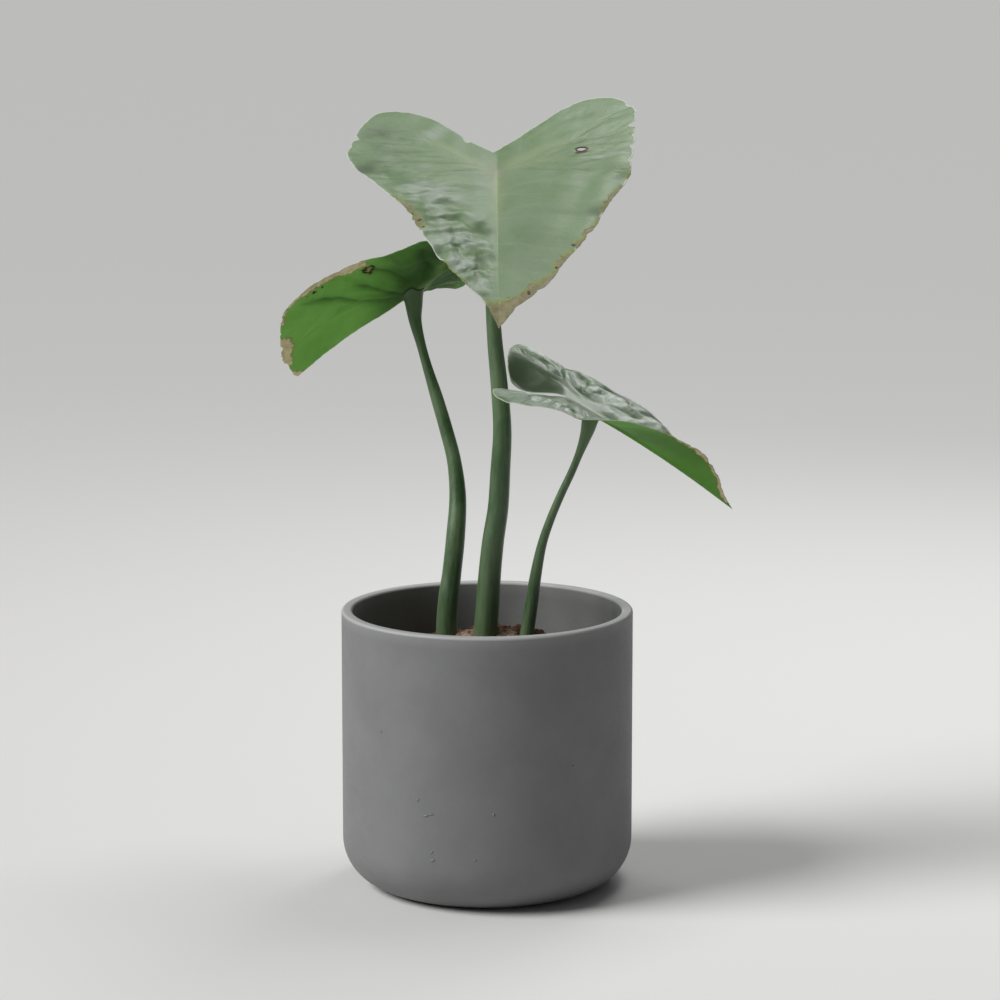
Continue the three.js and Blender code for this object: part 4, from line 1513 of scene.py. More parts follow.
    @staticmethod
    def faceted(local: np.ndarray, size: float, drift: np.ndarray, seed: int) -> np.ndarray:
        """Fold an area into flat facets, as in crumpled foil.

        Args:
            local: places in the area, in millimetres.
            size: about how wide a facet is.
            drift: bends the fold lines, from -1 to 1.
            seed: picks the folds' directions and places.

        Returns:
            Each point's height, from about -1 to 1.
        """
        draw = np.random.default_rng(seed)
        folds = 3
        total = np.zeros(len(local))
        for _ in range(folds):
            angle = draw.uniform(0, math.pi)
            length = size * draw.uniform(1.0, 2.2)
            run = local @ np.array([math.cos(angle), math.sin(angle)]) / length + draw.uniform()
            total += (4 * np.abs((run + 0.25 * drift) % 1 - 0.5) - 1) * length / size
        return total / folds

    def ribs(self, net: FlatNet) -> tuple[np.ndarray, np.ndarray, np.ndarray]:
        """Find where the veins run.

        Args:
            net: the flat net.

        Returns:
            How far they stand out of the lower face in millimetres, and how strongly the main veins and the
            side veins show at each point, from 0 to 1.
        """
        middle = np.linalg.norm(net.points, axis=1)
        height = self.hub_height * np.exp(-((middle / self.hub_radius) ** 2))
        main = 0.45 * np.exp(-((middle / (1.2 * self.hub_radius)) ** 2))
        shares = np.linspace(0, 1, 150)
        midrib = smooth_line(((0, 0), self.shape.tip), shares)
        veins = [(midrib, self.midrib_height, *self.midrib_widths, self.shape.midrib_show)]
        for half in (self.shape.right, self.shape.left):
            line = smooth_line((*half.lobe_vein, half.lobe_edge[0]), shares)
            widths = self.lobe_vein_widths
            veins.append((line, self.shape.lobe_rib, *widths, self.shape.lobe_vein_show))
        for line, top, wide, narrow, show in veins:
            distance, share = nearest(net.points, line)
            width = narrow + (wide - narrow) * (1 - share) ** 5
            height = np.maximum(height, top * (1 - share) * np.exp(-((distance / (0.6 * width + 0.9)) ** 2)))
            main = np.maximum(main, show * (1 - 0.75 * share) * np.exp(-((distance / width) ** 2)))
        for ray in self.shape.rays:
            distance, share = nearest(net.points, smooth_line(ray.points, shares))
            width = ray.wide + (ray.narrow - ray.wide) * share
            fade = ray.strength * (1 - smoothstep(0.5, 1.0, share))
            main = np.maximum(main, fade * np.exp(-((distance / width) ** 2)))
        side = np.zeros(len(net.points))
        for line in net.laterals:
            distance, share = nearest(net.points, line)
            width = self.lateral_width * (1 - 0.6 * share)
            ridge = (1 - share) * np.exp(-((distance / (1.3 * width)) ** 2))
            height = np.maximum(height, self.shape.lateral_rib * ridge)
            line_show = self.shape.lateral_show * (1 - share) * np.exp(-((distance / width) ** 2))
            side = np.maximum(side, line_show)
        return height, main, side

    def build(self, upper: bpy.types.Material, under: bpy.types.Material) -> bpy.types.Object:
        """Make the blade's piece.

        Args:
            upper: the upper face's finish.
            under: the lower face's finish.

        Returns:
            The piece, which stands for the part's blade.
        """
        net = self.flat_net()
        faces = net.faces
        margin = net.points[np.unique(self.border(faces)[:, 0])]
        rim = nearest(net.points, margin)[0]
        dry, spot = self.dryness(net, rim)
        points = net.points.copy()
        for hole in self.shape.holes:
            faces, points = self.cut_hole(points, faces, hole)
            offset = (points - (hole.x, hole.y)) / (hole.along, hole.across)
            ring = np.linalg.norm(offset, axis=1)
            spot = np.maximum(spot, 1 - smoothstep(*self.hole_rim, ring))
        used = np.unique(faces)
        number = np.full(len(points), -1)
        number[used] = np.arange(len(used))
        faces = number[faces]

        middle = self.bent(points)
        normals = surface_normals(middle[used], faces)
        fold_height, fold_share = self.folded(net)
        middle = middle[used] + normals * (self.waves(net) + fold_height)[used][:, None]
        normals = surface_normals(middle, faces)
        ribs, vein, lateral = (values[used] for values in self.ribs(net))
        half = (self.thin + (self.thick - self.thin) * smoothstep(0, self.thick_from, rim[used])) / 2
        groove = np.minimum(self.groove_share * ribs, self.groove_depth)
        above = middle + normals * (half - groove)[:, None]
        below = middle - normals * (half + ribs)[:, None]
        count = len(used)
        edges = self.border(faces)
        sides = np.column_stack([edges[:, 1], edges[:, 0], edges[:, 0] + count, edges[:, 1] + count])
        solid = np.vstack([faces, faces[:, ::-1] + count, sides])
        piece = mesh_piece(f"blade_{self.shape.name}", np.vstack([above, below]) * MM, solid)
        piece.data.materials.append(upper)
        piece.data.materials.append(under)
        below_faces = np.zeros(len(piece.data.polygons), np.int32)
        below_faces[len(faces):2 * len(faces)] = 1
        piece.data.polygons.foreach_set("material_index", below_faces)
        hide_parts(f"leaf_{self.shape.name}")
        flat = np.column_stack([points[used] * MM, np.zeros(count)])
        grain = np.column_stack([net.grain[used] * MM, np.full(count, self.shape.root[2] * MM)])
        shade = np.zeros(len(points))
        for crease in self.shape.creases:
            shade = np.maximum(shade, crease.shade * self.creased(net, crease) ** self.shade_spread)
        kept = {
            "flat": flat, "grain": grain, "vein": vein, "lateral": lateral,
            "rim": rim[used], "dry": dry[used], "spot": spot[used], "shade": shade[used],
        }
        for name, values in kept.items():
            keep_values(piece, name, np.concatenate([values, values]))
        # tone carries the painted reflections and painted shade to both faces' materials.
        keep_values(piece, "tone", np.concatenate([tone[used] for tone in self.toned(net, fold_share)]))
        return piece

    @staticmethod
    def border(faces: np.ndarray) -> np.ndarray:
        """Find the edges that only one face uses, in that face's direction."""
        edges = np.vstack([faces[:, [k, (k + 1) % 4]] for k in range(4)])
        edges = edges[edges[:, 0] != edges[:, 1]]
        size = int(faces.max()) + 1
        key = edges[:, 0] * size + edges[:, 1]
        back = edges[:, 1] * size + edges[:, 0]
        return edges[~np.isin(key, back)]

    def dryness(self, net: FlatNet, rim: np.ndarray) -> tuple[np.ndarray, np.ndarray]:
        """Find the dead patches and dark spots.

        Args:
            net: the flat net.
            rim: each point's distance from the margin.

        Returns:
            How dead each point is, and how dark a spot it lies in, from 0 to 1.
        """
        dry = np.zeros(len(rim))
        for patch in self.shape.patches:
            away = np.linalg.norm(net.points - (patch.x, patch.y), axis=1) / patch.reach
            window = 1 - smoothstep(0.45, 1.0, away)
            dry = np.maximum(dry, patch.strength * window * np.clip(1.3 - rim / patch.depth, 0, 1))
        spot = np.zeros(len(rim))
        uneven = 0.35 * soft_noise(net.points, self.spot_cloud, 9.4)
        for oval in self.shape.spots:
            away = oval_share(net.points, oval) + uneven
            middle = oval.ring * (1 - smoothstep(0.35, 0.65, away))
            spot = np.maximum(spot, 1 - smoothstep(0.8, 1.15, away) - middle)
        return dry, spot

    @staticmethod
    def cut_hole(points: np.ndarray, faces: np.ndarray, hole: Hole) -> tuple[np.ndarray, np.ndarray]:
        """Cut a hole and smooth its edge.

        Args:
            points: the flat points.
            faces: the faces.
            hole: the hole.

        Returns:
            The faces that are left, and the points with those round the hole moved onto its edge.
        """
        offset = (points - (hole.x, hole.y)) / (hole.along, hole.across)
        ring = np.linalg.norm(offset, axis=1)
        left = faces[ring[faces].mean(axis=1) > 1]
        around = np.setdiff1d(Blade.border(left)[:, 0], Blade.border(faces)[:, 0])
        uneven = 1 + 0.14 * np.sin(3 * np.arctan2(offset[around, 1], offset[around, 0]) + 1)
        moved = points.copy()
        moved[around] = (hole.x, hole.y) + (offset[around] / ring[around][:, None] * uneven[:, None]) * (
            hole.along, hole.across,
        )
        return left, moved


@dataclass
class Stalk:
    """One leaf stalk: a grooved, swelling tube from the corm to the blade that it carries."""

    name: str
    stations: tuple[tuple[float, float, float, float], ...]
    channel_faces: float
    rings: int = 150
    sides: int = 48
    channel_depth: float = 0.2
    channel_width: float = 0.5
    rib_count: int = 11
    rib_depth: float = 0.008
    flare: float = 0.16
    flare_length: float = 7.0
    sunk: float = 0.25
    channel_grows: tuple[float, float] = (0.35, 0.95)
    seat_starts: float = 0.8
    seat_reach: float = 30.0

    def build(self, blade: bpy.types.Object, material: bpy.types.Material) -> bpy.types.Object:
        """Make the stalk's piece, with its head on the blade's lower face.

        Args:
            blade: the blade's piece.
            material: the stalk's finish.

        Returns:
            The piece, which stands for the part's stalk.
        """
        last = len(self.stations) - 1
        shares = np.linspace(0, 1, self.rings)
        centres = curve_at([station[:3] for station in self.stations], shares * last)
        widths = Course([(i / last, station[3]) for i, station in enumerate(self.stations)]).at(shares)
        tangents = np.gradient(centres, axis=0)
        tangents /= np.linalg.norm(tangents, axis=1)[:, None]
        sideways = np.cross([0, 1, 0], tangents)
        sideways /= np.linalg.norm(sideways, axis=1)[:, None]
        deep = np.cross(tangents, sideways)
        angles = np.linspace(0, 2 * np.pi, self.sides, endpoint=False)
        turn = (angles - math.radians(self.channel_faces) + np.pi) % (2 * np.pi) - np.pi
        hollow = np.exp(-((turn / self.channel_width) ** 2))
        ribs = self.rib_depth * np.cos(self.rib_count * angles)
        depth = self.channel_depth * smoothstep(*self.channel_grows, shares)
        factor = 1 + ribs[None, :] - depth[:, None] * hollow[None, :]
        radius = (widths / 2)[:, None] * factor
        rows = (
            centres[:, None] + sideways[:, None] * (radius * np.cos(angles))[..., None]
            + deep[:, None] * (radius * np.sin(angles))[..., None]
        )
        rows = self.seated(rows, centres, tangents, blade)
        heights = np.repeat(shares, self.sides)
        points, faces = self.closed(rows)
        piece = mesh_piece(f"stalk_{self.name}_skin", points * MM, faces)
        piece.data.materials.append(material)
        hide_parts(f"stalk_{self.name}")
        keep_values(piece, "height", np.concatenate([heights, [0.0, 1.0]]))
        return piece

    def seated(
        self, rows: np.ndarray, centres: np.ndarray, tangents: np.ndarray, blade: bpy.types.Object,
    ) -> np.ndarray:
        """End each line of the tube on the blade's lower face, and flare it there.

        Args:
            rows: the tube's rings of points, in millimetres.
            centres: the rings' middles.
            tangents: the tube's direction at each ring.
            blade: the blade's piece.

        Returns:
            The rings, drawn back below the blade.
        """
        mesh = blade.data
        tree = BVHTree.FromPolygons(
            [v.co / MM for v in mesh.vertices], [tuple(p.vertices) for p in mesh.polygons],
        )
        start = int(self.seat_starts * len(rows))
        seated = rows.copy()
        for column in range(rows.shape[1]):
            line = rows[start:, column]
            lengths = np.concatenate([[0], np.cumsum(np.linalg.norm(np.diff(line, axis=0), axis=1))])
            way = Vector(tangents[-1])
            meets = lengths[-1]
            for i in range(len(line) - 1):
                leg = Vector(line[i + 1] - line[i])
                hit = tree.ray_cast(Vector(line[i]), leg.normalized(), leg.length)
                if hit[0] is not None:
                    meets = lengths[i] + hit[3]
                    break
            else:
                hit = tree.ray_cast(Vector(line[-1]), way, self.seat_reach)
                if hit[0] is not None:
                    line = np.vstack([line, np.array(hit[0])])
                    meets = lengths[-1] + hit[3]
                    lengths = np.append(lengths, meets)
            places = np.linspace(0, 1, len(seated) - start) * (meets + self.sunk)
            for k in range(3):
                seated[start:, column, k] = np.interp(places, lengths, line[:, k])
            near = np.clip(1 - (meets - places) / self.flare_length, 0, 1) ** 2
            outward = seated[start:, column] - centres[start:]
            outward -= tangents[start:] * np.sum(outward * tangents[start:], axis=1)[:, None]
            seated[start:, column] += outward * (self.flare * near)[:, None]
        return seated

    @staticmethod
    def closed(rows: np.ndarray) -> tuple[np.ndarray, list[tuple[int, ...]]]:
        """Close a tube of rings at both ends.

        Args:
            rows: its rings of points.

        Returns:
            All its points, with the two ends' middles last, and its faces.
        """
        count, sides = rows.shape[:2]
        points = np.vstack([rows.reshape(-1, 3), rows[0].mean(axis=0), rows[-1].mean(axis=0)])
        faces: list[tuple[int, ...]] = []
        for i in range(count - 1):
            for j in range(sides):
                k = (j + 1) % sides
                faces.append((i * sides + j, i * sides + k, (i + 1) * sides + k, (i + 1) * sides + j))
        foot, head = count * sides, count * sides + 1
        for j in range(sides):
            k = (j + 1) % sides
            faces.append((foot, k, j))
            faces.append((head, (count - 1) * sides + j, (count - 1) * sides + k))
        return points, faces


STALKS = (
    Stalk("centre", (
        (-2, 0, 168, 17), (-1, 0, 177, 16.6), (1.6, 0, 215, 15.6), (4, 0, 239, 15), (7.4, 0, 262, 14.2),
        (9, 1, 288, 13.6), (10.3, 2, 316, 12.6), (8, 4, 349, 11.6), (5.2, 6, 377, 10.4), (3.4, 8, 412, 9.2),
        (4, 9, 446, 8.4), (5.6, 7, 472, 9.6), (6.8, 3, 487, 13), (7.2, -1, 498, 14.5),
    ), channel_faces=100),
    Stalk("left", (
        (-27, 5, 158, 14.6), (-28, 6, 176, 14.6), (-26.6, 8, 198, 14.2), (-24.4, 11, 215, 13.2),
        (-21.8, 16, 240, 13), (-20.4, 24, 266, 11.6), (-23, 31, 290, 9.8), (-28.3, 38, 310, 9.3),
        (-35, 45, 332, 8.6), (-41.4, 50, 352, 6.8), (-46, 54, 368, 6.6), (-50, 58, 384, 9),
        (-51, 61, 396, 12.4), (-51.4, 63, 408, 14),
    ), channel_faces=-60),
    Stalk("right", (
        (24, -5, 158, 10), (27.4, -5, 177, 9.6), (30.6, -5, 198, 8.8), (33, -5, 215, 8),
        (37.6, -5, 238, 6.4), (43.2, -5, 255, 5.8), (50.2, -5, 272, 5.5), (57.6, -5, 288, 5.3),
        (62.4, -5, 300, 5.6), (66.4, -5, 311, 7.8), (69, -5, 320, 10.6), (71, -5, 334, 13),
    ), channel_faces=150),
)


def turned(profile: Sequence[Point], sides: int) -> tuple[np.ndarray, list[tuple[int, ...]]]:
    """Turn a profile about the upright axis.

    Args:
        profile: radius and height of its points, from one end on the axis to the other.
        sides: the number of sides.

    Returns:
        The points, in the profile's unit, and the faces.
    """
    angles = np.linspace(0, 2 * np.pi, sides, endpoint=False)
    rings = np.array([
        [(radius * math.cos(a), radius * math.sin(a), height) for a in angles]
        for radius, height in profile[1:-1]
    ])
    points = np.vstack([rings.reshape(-1, 3), (0, 0, profile[0][1]), (0, 0, profile[-1][1])])
    count = len(profile) - 2
    faces: list[tuple[int, ...]] = []
    for j in range(sides):
        k = (j + 1) % sides
        faces.append((count * sides, k, j))
        faces.append((count * sides + 1, (count - 1) * sides + j, (count - 1) * sides + k))
        for i in range(count - 1):
            faces.append((i * sides + j, i * sides + k, (i + 1) * sides + k, (i + 1) * sides + j))
    return points, faces


def arc(x: float, y: float, radius: float, start: float, end: float, steps: int) -> list[Point]:
    """List the points of an arc in a profile.

    Args:
        x: its middle's radius from the axis.
        y: its middle's height.
        radius: its own radius.
        start: its first angle in degrees.
        end: its last.
        steps: how many stretches it has.

    Returns:
        Its points, both ends included.
    """
    angles = np.radians(np.linspace(start, end, steps + 1))
    return [(x + radius * math.cos(a), y + radius * math.sin(a)) for a in angles]


@dataclass(frozen=True)
class Speck:
    """A small raised speck in the planter's front: its place and half sizes, and its lean in degrees."""

    x: float
    z: float
    wide: float
    high: float
    lean: float = 0.0


@dataclass
class Planter:
    """The round planter: a straight wall with a soft bottom edge, a rounded lip whose top carries a painted
    highlight, and a few raised specks.
    """

    radius: float = 100.0
    height: float = 192.5
    wall: float = 7.6
    floor: float = 9.0
    bottom_round: float = 33.0
    inside_round: float = 26.0
    lip_round: float = 2.2
    lip_edge: float = 0.6
    sides: int = 256
    speck_height: float = 0.5
    specks: tuple[Speck, ...] = (
        Speck(-46.2, 79.6, 1.3, 0.9, 35), Speck(-40.6, 69.4, 2.2, 0.8, 12), Speck(-37.4, 70.7, 2.2, 0.6, 8),
        Speck(-37, 44.6, 1.3, 0.8, 20), Speck(-36.4, 39, 1.9, 0.9, 10), Speck(4.6, 72.4, 1.2, 0.8, 60),
        Speck(-8, 41, 1.1, 0.6, 30), Speck(58, 101, 1.2, 0.7, 10), Speck(-71, 122, 1.0, 0.7, 50),
    )

    def raised_specks(self) -> bpy.types.Object:
        """Make the specks, in one piece, half sunk in the wall."""
        ball, net = rough_ball()
        points, faces = [], []
        for number, speck in enumerate(self.specks):
            lean = math.radians(speck.lean)
            wide, high = ball[:, 0] * speck.wide, ball[:, 2] * speck.high
            across = wide * math.cos(lean) - high * math.sin(lean)
            up = wide * math.sin(lean) + high * math.cos(lean)
            turn = math.asin(speck.x / self.radius) + across / self.radius
            radius = self.radius + self.speck_height * ball[:, 1]
            points.append(np.column_stack([radius * np.sin(turn), -radius * np.cos(turn), speck.z + up]))
            faces.append(net + number * len(ball))
        return mesh_piece("planter_specks", np.vstack(points) * MM, np.vstack(faces))

    def build(self) -> list[bpy.types.Object]:
        """Make the planter's pieces."""
        inner = self.radius - self.wall
        outside = arc(self.radius - self.bottom_round, self.bottom_round, self.bottom_round, -90, 0, 24)
        lip_height = self.height - self.lip_round
        lip = arc(self.radius - self.lip_round, lip_height, self.lip_round, 0, 90, 9)
        lip += arc(inner + self.lip_round, lip_height, self.lip_round, 90, 180, 9)
        inside = arc(inner - self.inside_round, self.floor + self.inside_round, self.inside_round, 0, -90, 16)
        wall = [(self.radius, z) for z in np.linspace(self.bottom_round, lip_height, 24)[1:-1]]
        well = [(inner, z) for z in np.linspace(lip_height, self.floor + self.inside_round, 20)[1:-1]]
        profile = [(0, 0), (self.radius * 0.3, 0), *outside, *wall, *lip, *well, *inside, (0, self.floor)]
        points, faces = turned(profile, self.sides)
        piece = mesh_piece("planter", points * MM, faces)
        # The lip attribute marks the lip's top for its painted highlight.
        highlight_from, highlight_to = lip_height - self.lip_edge, self.height - self.lip_edge
        keep_values(piece, "lip", smoothstep(highlight_from, highlight_to, points[:, 2]))
        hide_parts("pot")
        pieces = [piece, self.raised_specks()]
        material = CeramicFinish().material()
        for each in pieces:
            each.data.materials.append(material)
        return pieces


@dataclass
class Soil:
    """The potting soil: a crumbly surface with a low mound, and lumps of bark on it."""

    planter: Planter
    level: float = 152.0
    mound_height: float = 19.6
    mound_flat: float = 40.0
    mound_foot: float = 74.0
    gap: float = 0.3
    lump_height: float = 1.1
    lumps_end_at: tuple[float, float] = (80, 92)
    lump_waves: tuple[tuple[float, float, float, float], ...] = (
        (0.2, 0.03, 1.3, 0.13), (-0.04, 0.23, 1.7, 0.11),
    )
    rings: int = 120
    sides: int = 260
    crumb: float = 1.3
    crumb_sizes: tuple[float, float] = (7.0, 2.6)
    chips: int = 520
    chip_sizes: tuple[float, float] = (0.9, 2.0)
    lump_sizes: tuple[float, float] = (2.4, 4.6)
    lump_every: int = 6
    chip_clear: float = 5.0
    chip_lean: float = 0.5
    chip_sunk: float = 0.3
    chip_seed: int = SEED
    smaller_on_mound: float = 0.45

    def height_at(self, x: np.ndarray, y: np.ndarray) -> np.ndarray:
        """Find the height of the soil's surface.

        Args:
            x: places across, in millimetres.
            y: places back.

        Returns:
            The surface's height at each.
        """
        radius = np.hypot(x, y)
        mound = self.mound_height * (1 - smoothstep(self.mound_flat, self.mound_foot, radius))
        fade = 1 - smoothstep(*self.lumps_end_at, radius)
        lumps = sum(
            np.sin(x * run_x + y * run_y + bend * np.sin((x + y) * bend_run))
            for run_x, run_y, bend, bend_run in self.lump_waves
        )
        return self.level + mound + self.lump_height * lumps * fade

    def build(self) -> list[bpy.types.Object]:
        """Make the soil's pieces."""
        outer = self.planter.radius - self.planter.wall - self.gap
        round_ = self.planter.inside_round - self.gap
        centre = self.planter.radius - self.planter.wall - self.planter.inside_round
        profile = [(0, self.planter.floor + self.gap)]
        profile += arc(centre, self.planter.floor + self.planter.inside_round, round_, -90, 0, 8)
        profile += [(outer * (1 - i / self.rings), self.level) for i in range(self.rings)]
        points, faces = turned([*profile, (0, self.level)], self.sides)
        top = np.abs(points[:, 2] - self.level) < 1e-6
        flat = points[top, :2]
        coarse, fine = self.crumb_sizes
        crumbs = soft_noise(flat, coarse, 2.3, 5) + 0.6 * np.abs(soft_noise(flat, fine, 6.1, 3))
        points[top, 2] = self.height_at(flat[:, 0], flat[:, 1]) + self.crumb * (crumbs - 0.35)
        soil = mesh_piece("soil_bed", points * MM, faces)
        soil.data.materials.append(SoilFinish().material("potting_soil", 0.006))
        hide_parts("soil")
        chips = self.scattered_chips(outer)
        return [soil, chips]

    def scattered_chips(self, outer: float) -> bpy.types.Object:
        """Scatter bark lumps over the soil, in one piece.

        Args:
            outer: the soil's radius in millimetres.

        Returns:
            The piece.
        """
        draw = np.random.default_rng(self.chip_seed)
        ball, net = rough_ball()
        points, faces = [], []
        for number in range(self.chips):
            radius = (outer - self.chip_clear) * math.sqrt(draw.uniform(0.0, 1.0))
            angle = draw.uniform(0, 2 * math.pi)
            x, y = radius * math.cos(angle), radius * math.sin(angle)
            size = draw.uniform(*(self.chip_sizes if number % self.lump_every else self.lump_sizes))
            if radius < self.mound_flat:
                size *= self.smaller_on_mound
            shape = ball * (size * draw.uniform(1.0, 1.9), size * draw.uniform(0.7, 1.2), size * 0.62)
            shape *= (1 + 0.3 * soft_noise(ball * 3, 2.1, number * 0.37, 2))[:, None]
            lean, spin = draw.uniform(-self.chip_lean, self.chip_lean), draw.uniform(0, 2 * math.pi)
            around = np.array([
                [math.cos(spin), -math.sin(spin), 0], [math.sin(spin), math.cos(spin), 0], [0, 0, 1],
            ])
            tilt = np.array([
                [1, 0, 0], [0, math.cos(lean), -math.sin(lean)], [0, math.sin(lean), math.cos(lean)],
            ])
            z = float(self.height_at(np.array(x), np.array(y))) - size * self.chip_sunk
            start = len(points) * len(ball)
            points.append(shape @ (around @ tilt).T + (x, y, z))
            faces.append(net + start)
        piece = mesh_piece("bark_chips", np.vstack(points) * MM, np.vstack(faces))
        piece.data.materials.append(SoilFinish(
            dark=(0.035, 0.016, 0.01), brown=(0.13, 0.055, 0.033), dry=(0.2, 0.11, 0.07),
        ).material("bark", 0.009))
        return piece


def rough_ball() -> tuple[np.ndarray, np.ndarray]:
    """Make a small round mesh to shape chips from.

    Returns:
        Its points on the unit sphere and its triangles.
    """
    columns, rows = 9, 6
    points = [(0.0, 0.0, -1.0)]
    for i in range(1, rows):
        tilt = -math.pi / 2 + math.pi * i / rows
        for j in range(columns):
            turn = 2 * math.pi * j / columns
            points.append((math.cos(tilt) * math.cos(turn), math.cos(tilt) * math.sin(turn), math.sin(tilt)))
    points.append((0.0, 0.0, 1.0))
    last = len(points) - 1
    faces = []
    for j in range(columns):
        k = (j + 1) % columns
        faces.append((0, 1 + k, 1 + j))
        faces.append((last, last - columns + j, last - columns + k))
        for i in range(rows - 2):
            low, high = 1 + i * columns, 1 + (i + 1) * columns
            faces.append((low + j, low + k, high + k))
            faces.append((low + j, high + k, high + j))
    return np.array(points), np.array(faces)


@dataclass
class Corm:
    """The corm's crown between the stalks, with the torn fibres of old sheaths."""

    profile: tuple[Point, ...] = (
        (0, 177), (12, 176.4), (20, 174.4), (27, 169), (33, 162), (36, 153), (35, 141), (28, 124), (15, 112),
        (0, 109),
    )
    crown_points: int = 6
    crown_reach: float = 35.0
    middle: float = 145.0
    sides: int = 120
    rough: float = 0.9
    rough_size: float = 4.0
    dip_depth: float = 5.2
    dip_width: float = 17.0
    dips_above: tuple[float, float] = (150.0, 165.0)
    fibres: int = 460
    fibre_points: int = 7
    fibre_reach: tuple[float, float] = (0.3, 7.0)
    fibre_span: tuple[float, float] = (0.25, 1.0)
    fibre_drift: float = 0.45
    fibre_radii: tuple[float, float] = (0.12, 0.34)
    fibre_seed: int = SEED + 1

    def dip(self, x: np.ndarray, y: np.ndarray) -> np.ndarray:
        """Find how far the crown sinks in front of the middle stalk, where the stalk grows over its edge."""
        return self.dip_depth * np.exp(-((x / self.dip_width) ** 2)) * (1 - smoothstep(-8, 2, y))

    def surface(self) -> list[Point]:
        """List the corm's smooth profile, from its base to its top."""
        line = curve_at(self.profile[::-1], np.linspace(0, len(self.profile) - 1, 60))
        inner = [(max(float(radius), 0.4), float(height)) for radius, height in line[1:-1]]
        return [(0, self.profile[-1][1]), *inner, (0, self.profile[0][1])]

    def build(self, stalks: Sequence[Stalk]) -> list[bpy.types.Object]:
        """Make the corm's pieces.

        Args:
            stalks: the stalks that grow from it, whose feet its fibres wrap.

        Returns:
            The corm and its fibres.
        """
        material = CormFinish().material()
        points, faces = turned(self.surface(), self.sides)
        outward = points - (0, 0, self.middle)
        outward /= np.linalg.norm(outward, axis=1)[:, None]
        relief = self.rough * soft_noise(points * (1, 1, 0.5), self.rough_size, 1.9, 4)
        points += outward * relief[:, None]
        sinking = smoothstep(*self.dips_above, points[:, 2])
        points[:, 2] -= self.dip(points[:, 0], points[:, 1]) * sinking
        corm = mesh_piece("corm_crown", points * MM, faces)
        corm.data.materials.append(material)
        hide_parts("corm")
        fibres = self.wrapped_fibres(stalks)
        fibres.data.materials.append(material)
        return [corm, fibres]

    def wrapped_fibres(self, stalks: Sequence[Stalk]) -> bpy.types.Object:
        """Wind short torn fibres round the stalks' feet and over the crown, in one piece.

        Args:
            stalks: the stalks.

        Returns:
            The piece.
        """
        draw = np.random.default_rng(self.fibre_seed)
        points, faces, start = [], [], 0
        for number in range(self.fibres):
            foot = stalks[number % len(stalks)].stations[1]
            reach = foot[3] / 2 + draw.uniform(*self.fibre_reach)
            angle = draw.uniform(0, 2 * math.pi)
            span = draw.uniform(*self.fibre_span) * draw.choice([-1, 1])
            turns = angle + np.linspace(0, span, self.fibre_points)
            drift = reach + np.cumsum(draw.normal(0, self.fibre_drift, self.fibre_points))
            x, y = foot[0] + drift * np.cos(turns), foot[1] + drift * np.sin(turns)
            radius = np.clip(np.hypot(x, y), 0, self.crown_reach)
            profile = np.array(self.profile[:self.crown_points])
            base = np.interp(radius, profile[:, 0], profile[:, 1]) - self.dip(x, y)
            lift = -0.1 + 1.1 * draw.random() * np.sin(np.linspace(0.2, math.pi, self.fibre_points))
            line = np.column_stack([x, y, base + lift])
            tube, net = Stalk.closed(fibre_tube(line, draw.uniform(*self.fibre_radii)))
            points.append(tube)
            faces.extend(tuple(corner + start for corner in face) for face in net)
            start += len(tube)
        return mesh_piece("corm_fibres", np.vstack(points) * MM, faces)


def fibre_tube(line: np.ndarray, radius: float) -> np.ndarray:
    """Make the rings of a thin, tapering fibre.

    Args:
        line: its middle line.
        radius: its radius in the middle.

    Returns:
        Its rings of points.
    """
    sides = 5
    tangents = np.gradient(line, axis=0)
    tangents /= np.linalg.norm(tangents, axis=1)[:, None]
    sideways = np.cross(tangents, [0, 0, 1])
    sideways /= np.maximum(np.linalg.norm(sideways, axis=1), 1e-6)[:, None]
    deep = np.cross(sideways, tangents)
    angles = np.linspace(0, 2 * np.pi, sides, endpoint=False)
    taper = radius * (0.25 + 0.75 * np.sin(np.linspace(0.1, math.pi - 0.1, len(line))))
    return (
        line[:, None] + sideways[:, None] * (taper[:, None] * np.cos(angles))[..., None]
        + deep[:, None] * (taper[:, None] * np.sin(angles))[..., None]
    )


@dataclass(frozen=True)
class Lamp:
    """A soft square lamp: its place, what it looks at, its size, power and colour."""

    name: str
    place: tuple[float, float, float]
    target: tuple[float, float, float]
    width: float
    height: float
    power: float
    colour: Colour = (1.0, 1.0, 1.0)


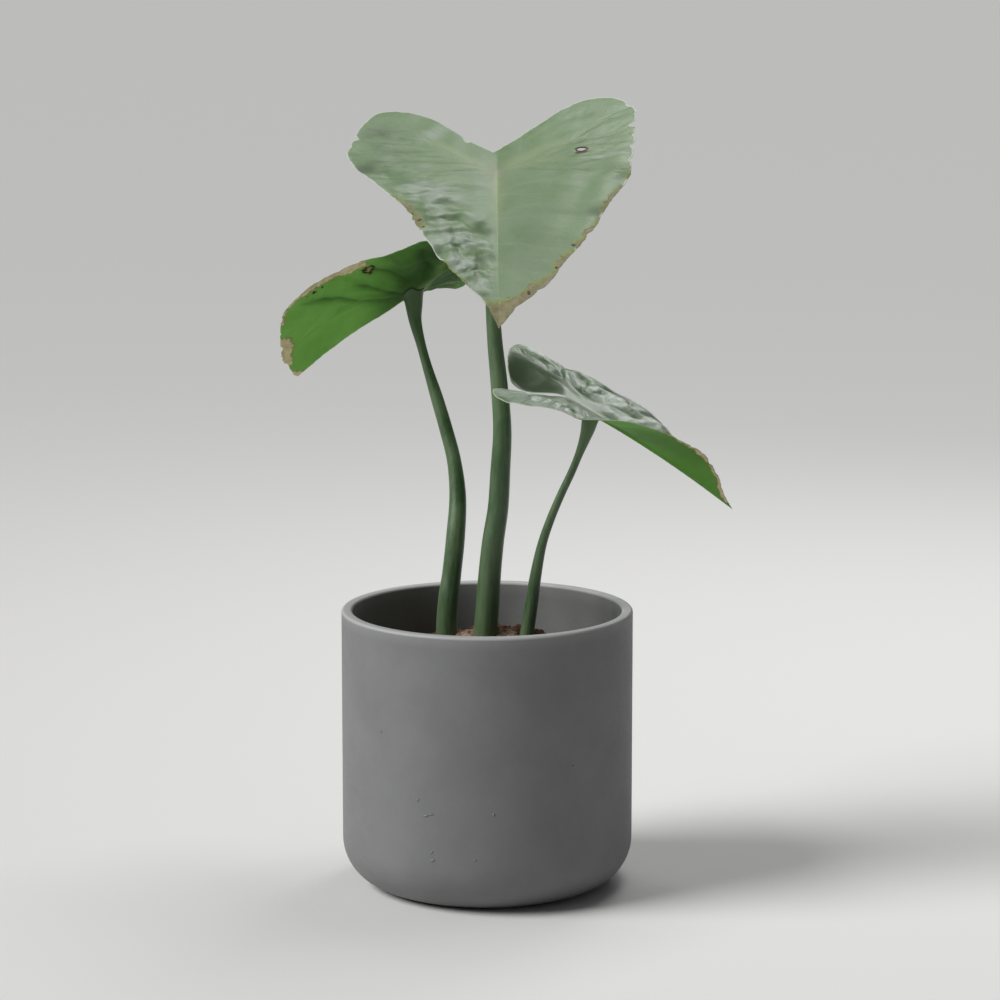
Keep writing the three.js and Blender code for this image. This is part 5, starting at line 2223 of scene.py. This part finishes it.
@dataclass
class Studio:
    """The plain pale floor, the soft light and the camera at the photograph's angle."""

    floor_size: float = 60.0
    floor_colour: Colour = (0.7, 0.695, 0.685)
    sky_colour: Colour = (0.8, 0.82, 0.84)
    sky_strength: float = 0.13
    key_from: tuple[float, float, float] = (-0.74, -0.24, 0.63)
    key_strength: float = 3.2
    key_spread: float = 32.0
    camera_place: tuple[float, float, float] = (0.0088, -2.5241, 0.7073)
    camera_pitch: float = -9.88
    lens: float = 135.0
    sensor: float = 36.0
    lamps: tuple[Lamp, ...] = (
        Lamp("sheen", (0.36, 0.33, 1.85), (0, -0.04, 0.45), 0.7, 0.7, 10.0),
        Lamp("back", (0.6, 1.29, 1.13), (0.09, 0, 0.31), 0.62, 0.52, 3.6),
    )

    def build(self) -> None:
        """Make the floor, sky, lamps and camera."""
        self.make_floor()
        self.make_sky()
        self.make_key()
        for lamp in self.lamps:
            self.make_lamp(lamp)
        self.make_camera()
        bpy.context.scene.view_settings.view_transform = "Standard"

    def make_floor(self) -> None:
        """Lay the floor just under the planter."""
        half = self.floor_size / 2
        mesh = bpy.data.meshes.new("studio_floor")
        corners = [(-half, -half, 0), (half, -half, 0), (half, half, 0), (-half, half, 0)]
        mesh.from_pydata(corners, [], [(0, 1, 2, 3)])
        floor = bpy.data.objects.new("studio_floor", mesh)
        bpy.context.scene.collection.objects.link(floor)
        paint = Paint("pale_floor")
        floor.data.materials.append(paint.finish(
            Base_Color=self.floor_colour, Roughness=0.85, Specular_IOR_Level=0.2,
        ))

    def make_sky(self) -> None:
        """Fill the space around the studio with pale even light."""
        world = bpy.data.worlds.new("studio_sky")
        world.use_nodes = True
        background = world.node_tree.nodes["Background"]
        background.inputs["Color"].default_value = (*self.sky_colour, 1.0)
        background.inputs["Strength"].default_value = self.sky_strength
        bpy.context.scene.world = world

    def make_key(self) -> None:
        """Hang the key: wide, even light from the upper left, as from a large diffuser."""
        data = bpy.data.lights.new("key", "SUN")
        data.energy = self.key_strength
        data.angle = math.radians(self.key_spread)
        holder = bpy.data.objects.new("key", data)
        holder.rotation_euler = Vector(self.key_from).to_track_quat("Z", "Y").to_euler()
        bpy.context.scene.collection.objects.link(holder)

    @staticmethod
    def make_lamp(lamp: Lamp) -> None:
        """Hang one lamp.

        Args:
            lamp: the lamp.
        """
        data = bpy.data.lights.new(lamp.name, "AREA")
        data.shape = "RECTANGLE"
        data.size = lamp.width
        data.size_y = lamp.height
        data.energy = lamp.power
        data.color = lamp.colour
        holder = bpy.data.objects.new(lamp.name, data)
        holder.location = lamp.place
        away = Vector(lamp.place) - Vector(lamp.target)
        holder.rotation_euler = away.to_track_quat("Z", "Y").to_euler()
        bpy.context.scene.collection.objects.link(holder)

    def make_camera(self) -> None:
        """Stand the camera where the photograph was taken from."""
        data = bpy.data.cameras.new("camera")
        data.lens = self.lens
        data.sensor_width = self.sensor
        data.clip_start = 0.05
        data.clip_end = 200.0
        camera = bpy.data.objects.new("camera", data)
        camera.location = self.camera_place
        camera.rotation_euler = (math.radians(90 + self.camera_pitch), 0, 0)
        bpy.context.scene.collection.objects.link(camera)
        bpy.context.scene.camera = camera


def report(piece: bpy.types.Object) -> None:
    """Log a piece's name and how many faces it has."""
    LOG.info("%s: %d faces", piece.name, len(piece.data.polygons))


def main() -> None:
    """Build the studio and the plant, in order."""
    logging.basicConfig(level=logging.INFO, format="%(name)s: %(message)s")
    Studio().build()
    planter = Planter()
    for piece in planter.build():
        report(piece)
    for piece in Soil(planter).build():
        report(piece)
    for piece in Corm().build(STALKS):
        report(piece)
    waxy, silvery = UpperFinish().material(), SILVERY_UPPER.material()
    under = UnderFinish().material()
    stalk_skin = StalkFinish().material()
    leaves = ((CENTRE_BLADE, waxy), (LEFT_BLADE, waxy), (RIGHT_BLADE, silvery))
    for (shape, upper), stalk in zip(leaves, STALKS):
        blade = Blade(shape).build(upper, under)
        report(blade)
        report(stalk.build(blade, stalk_skin))


if __name__ == "__main__":
    main()
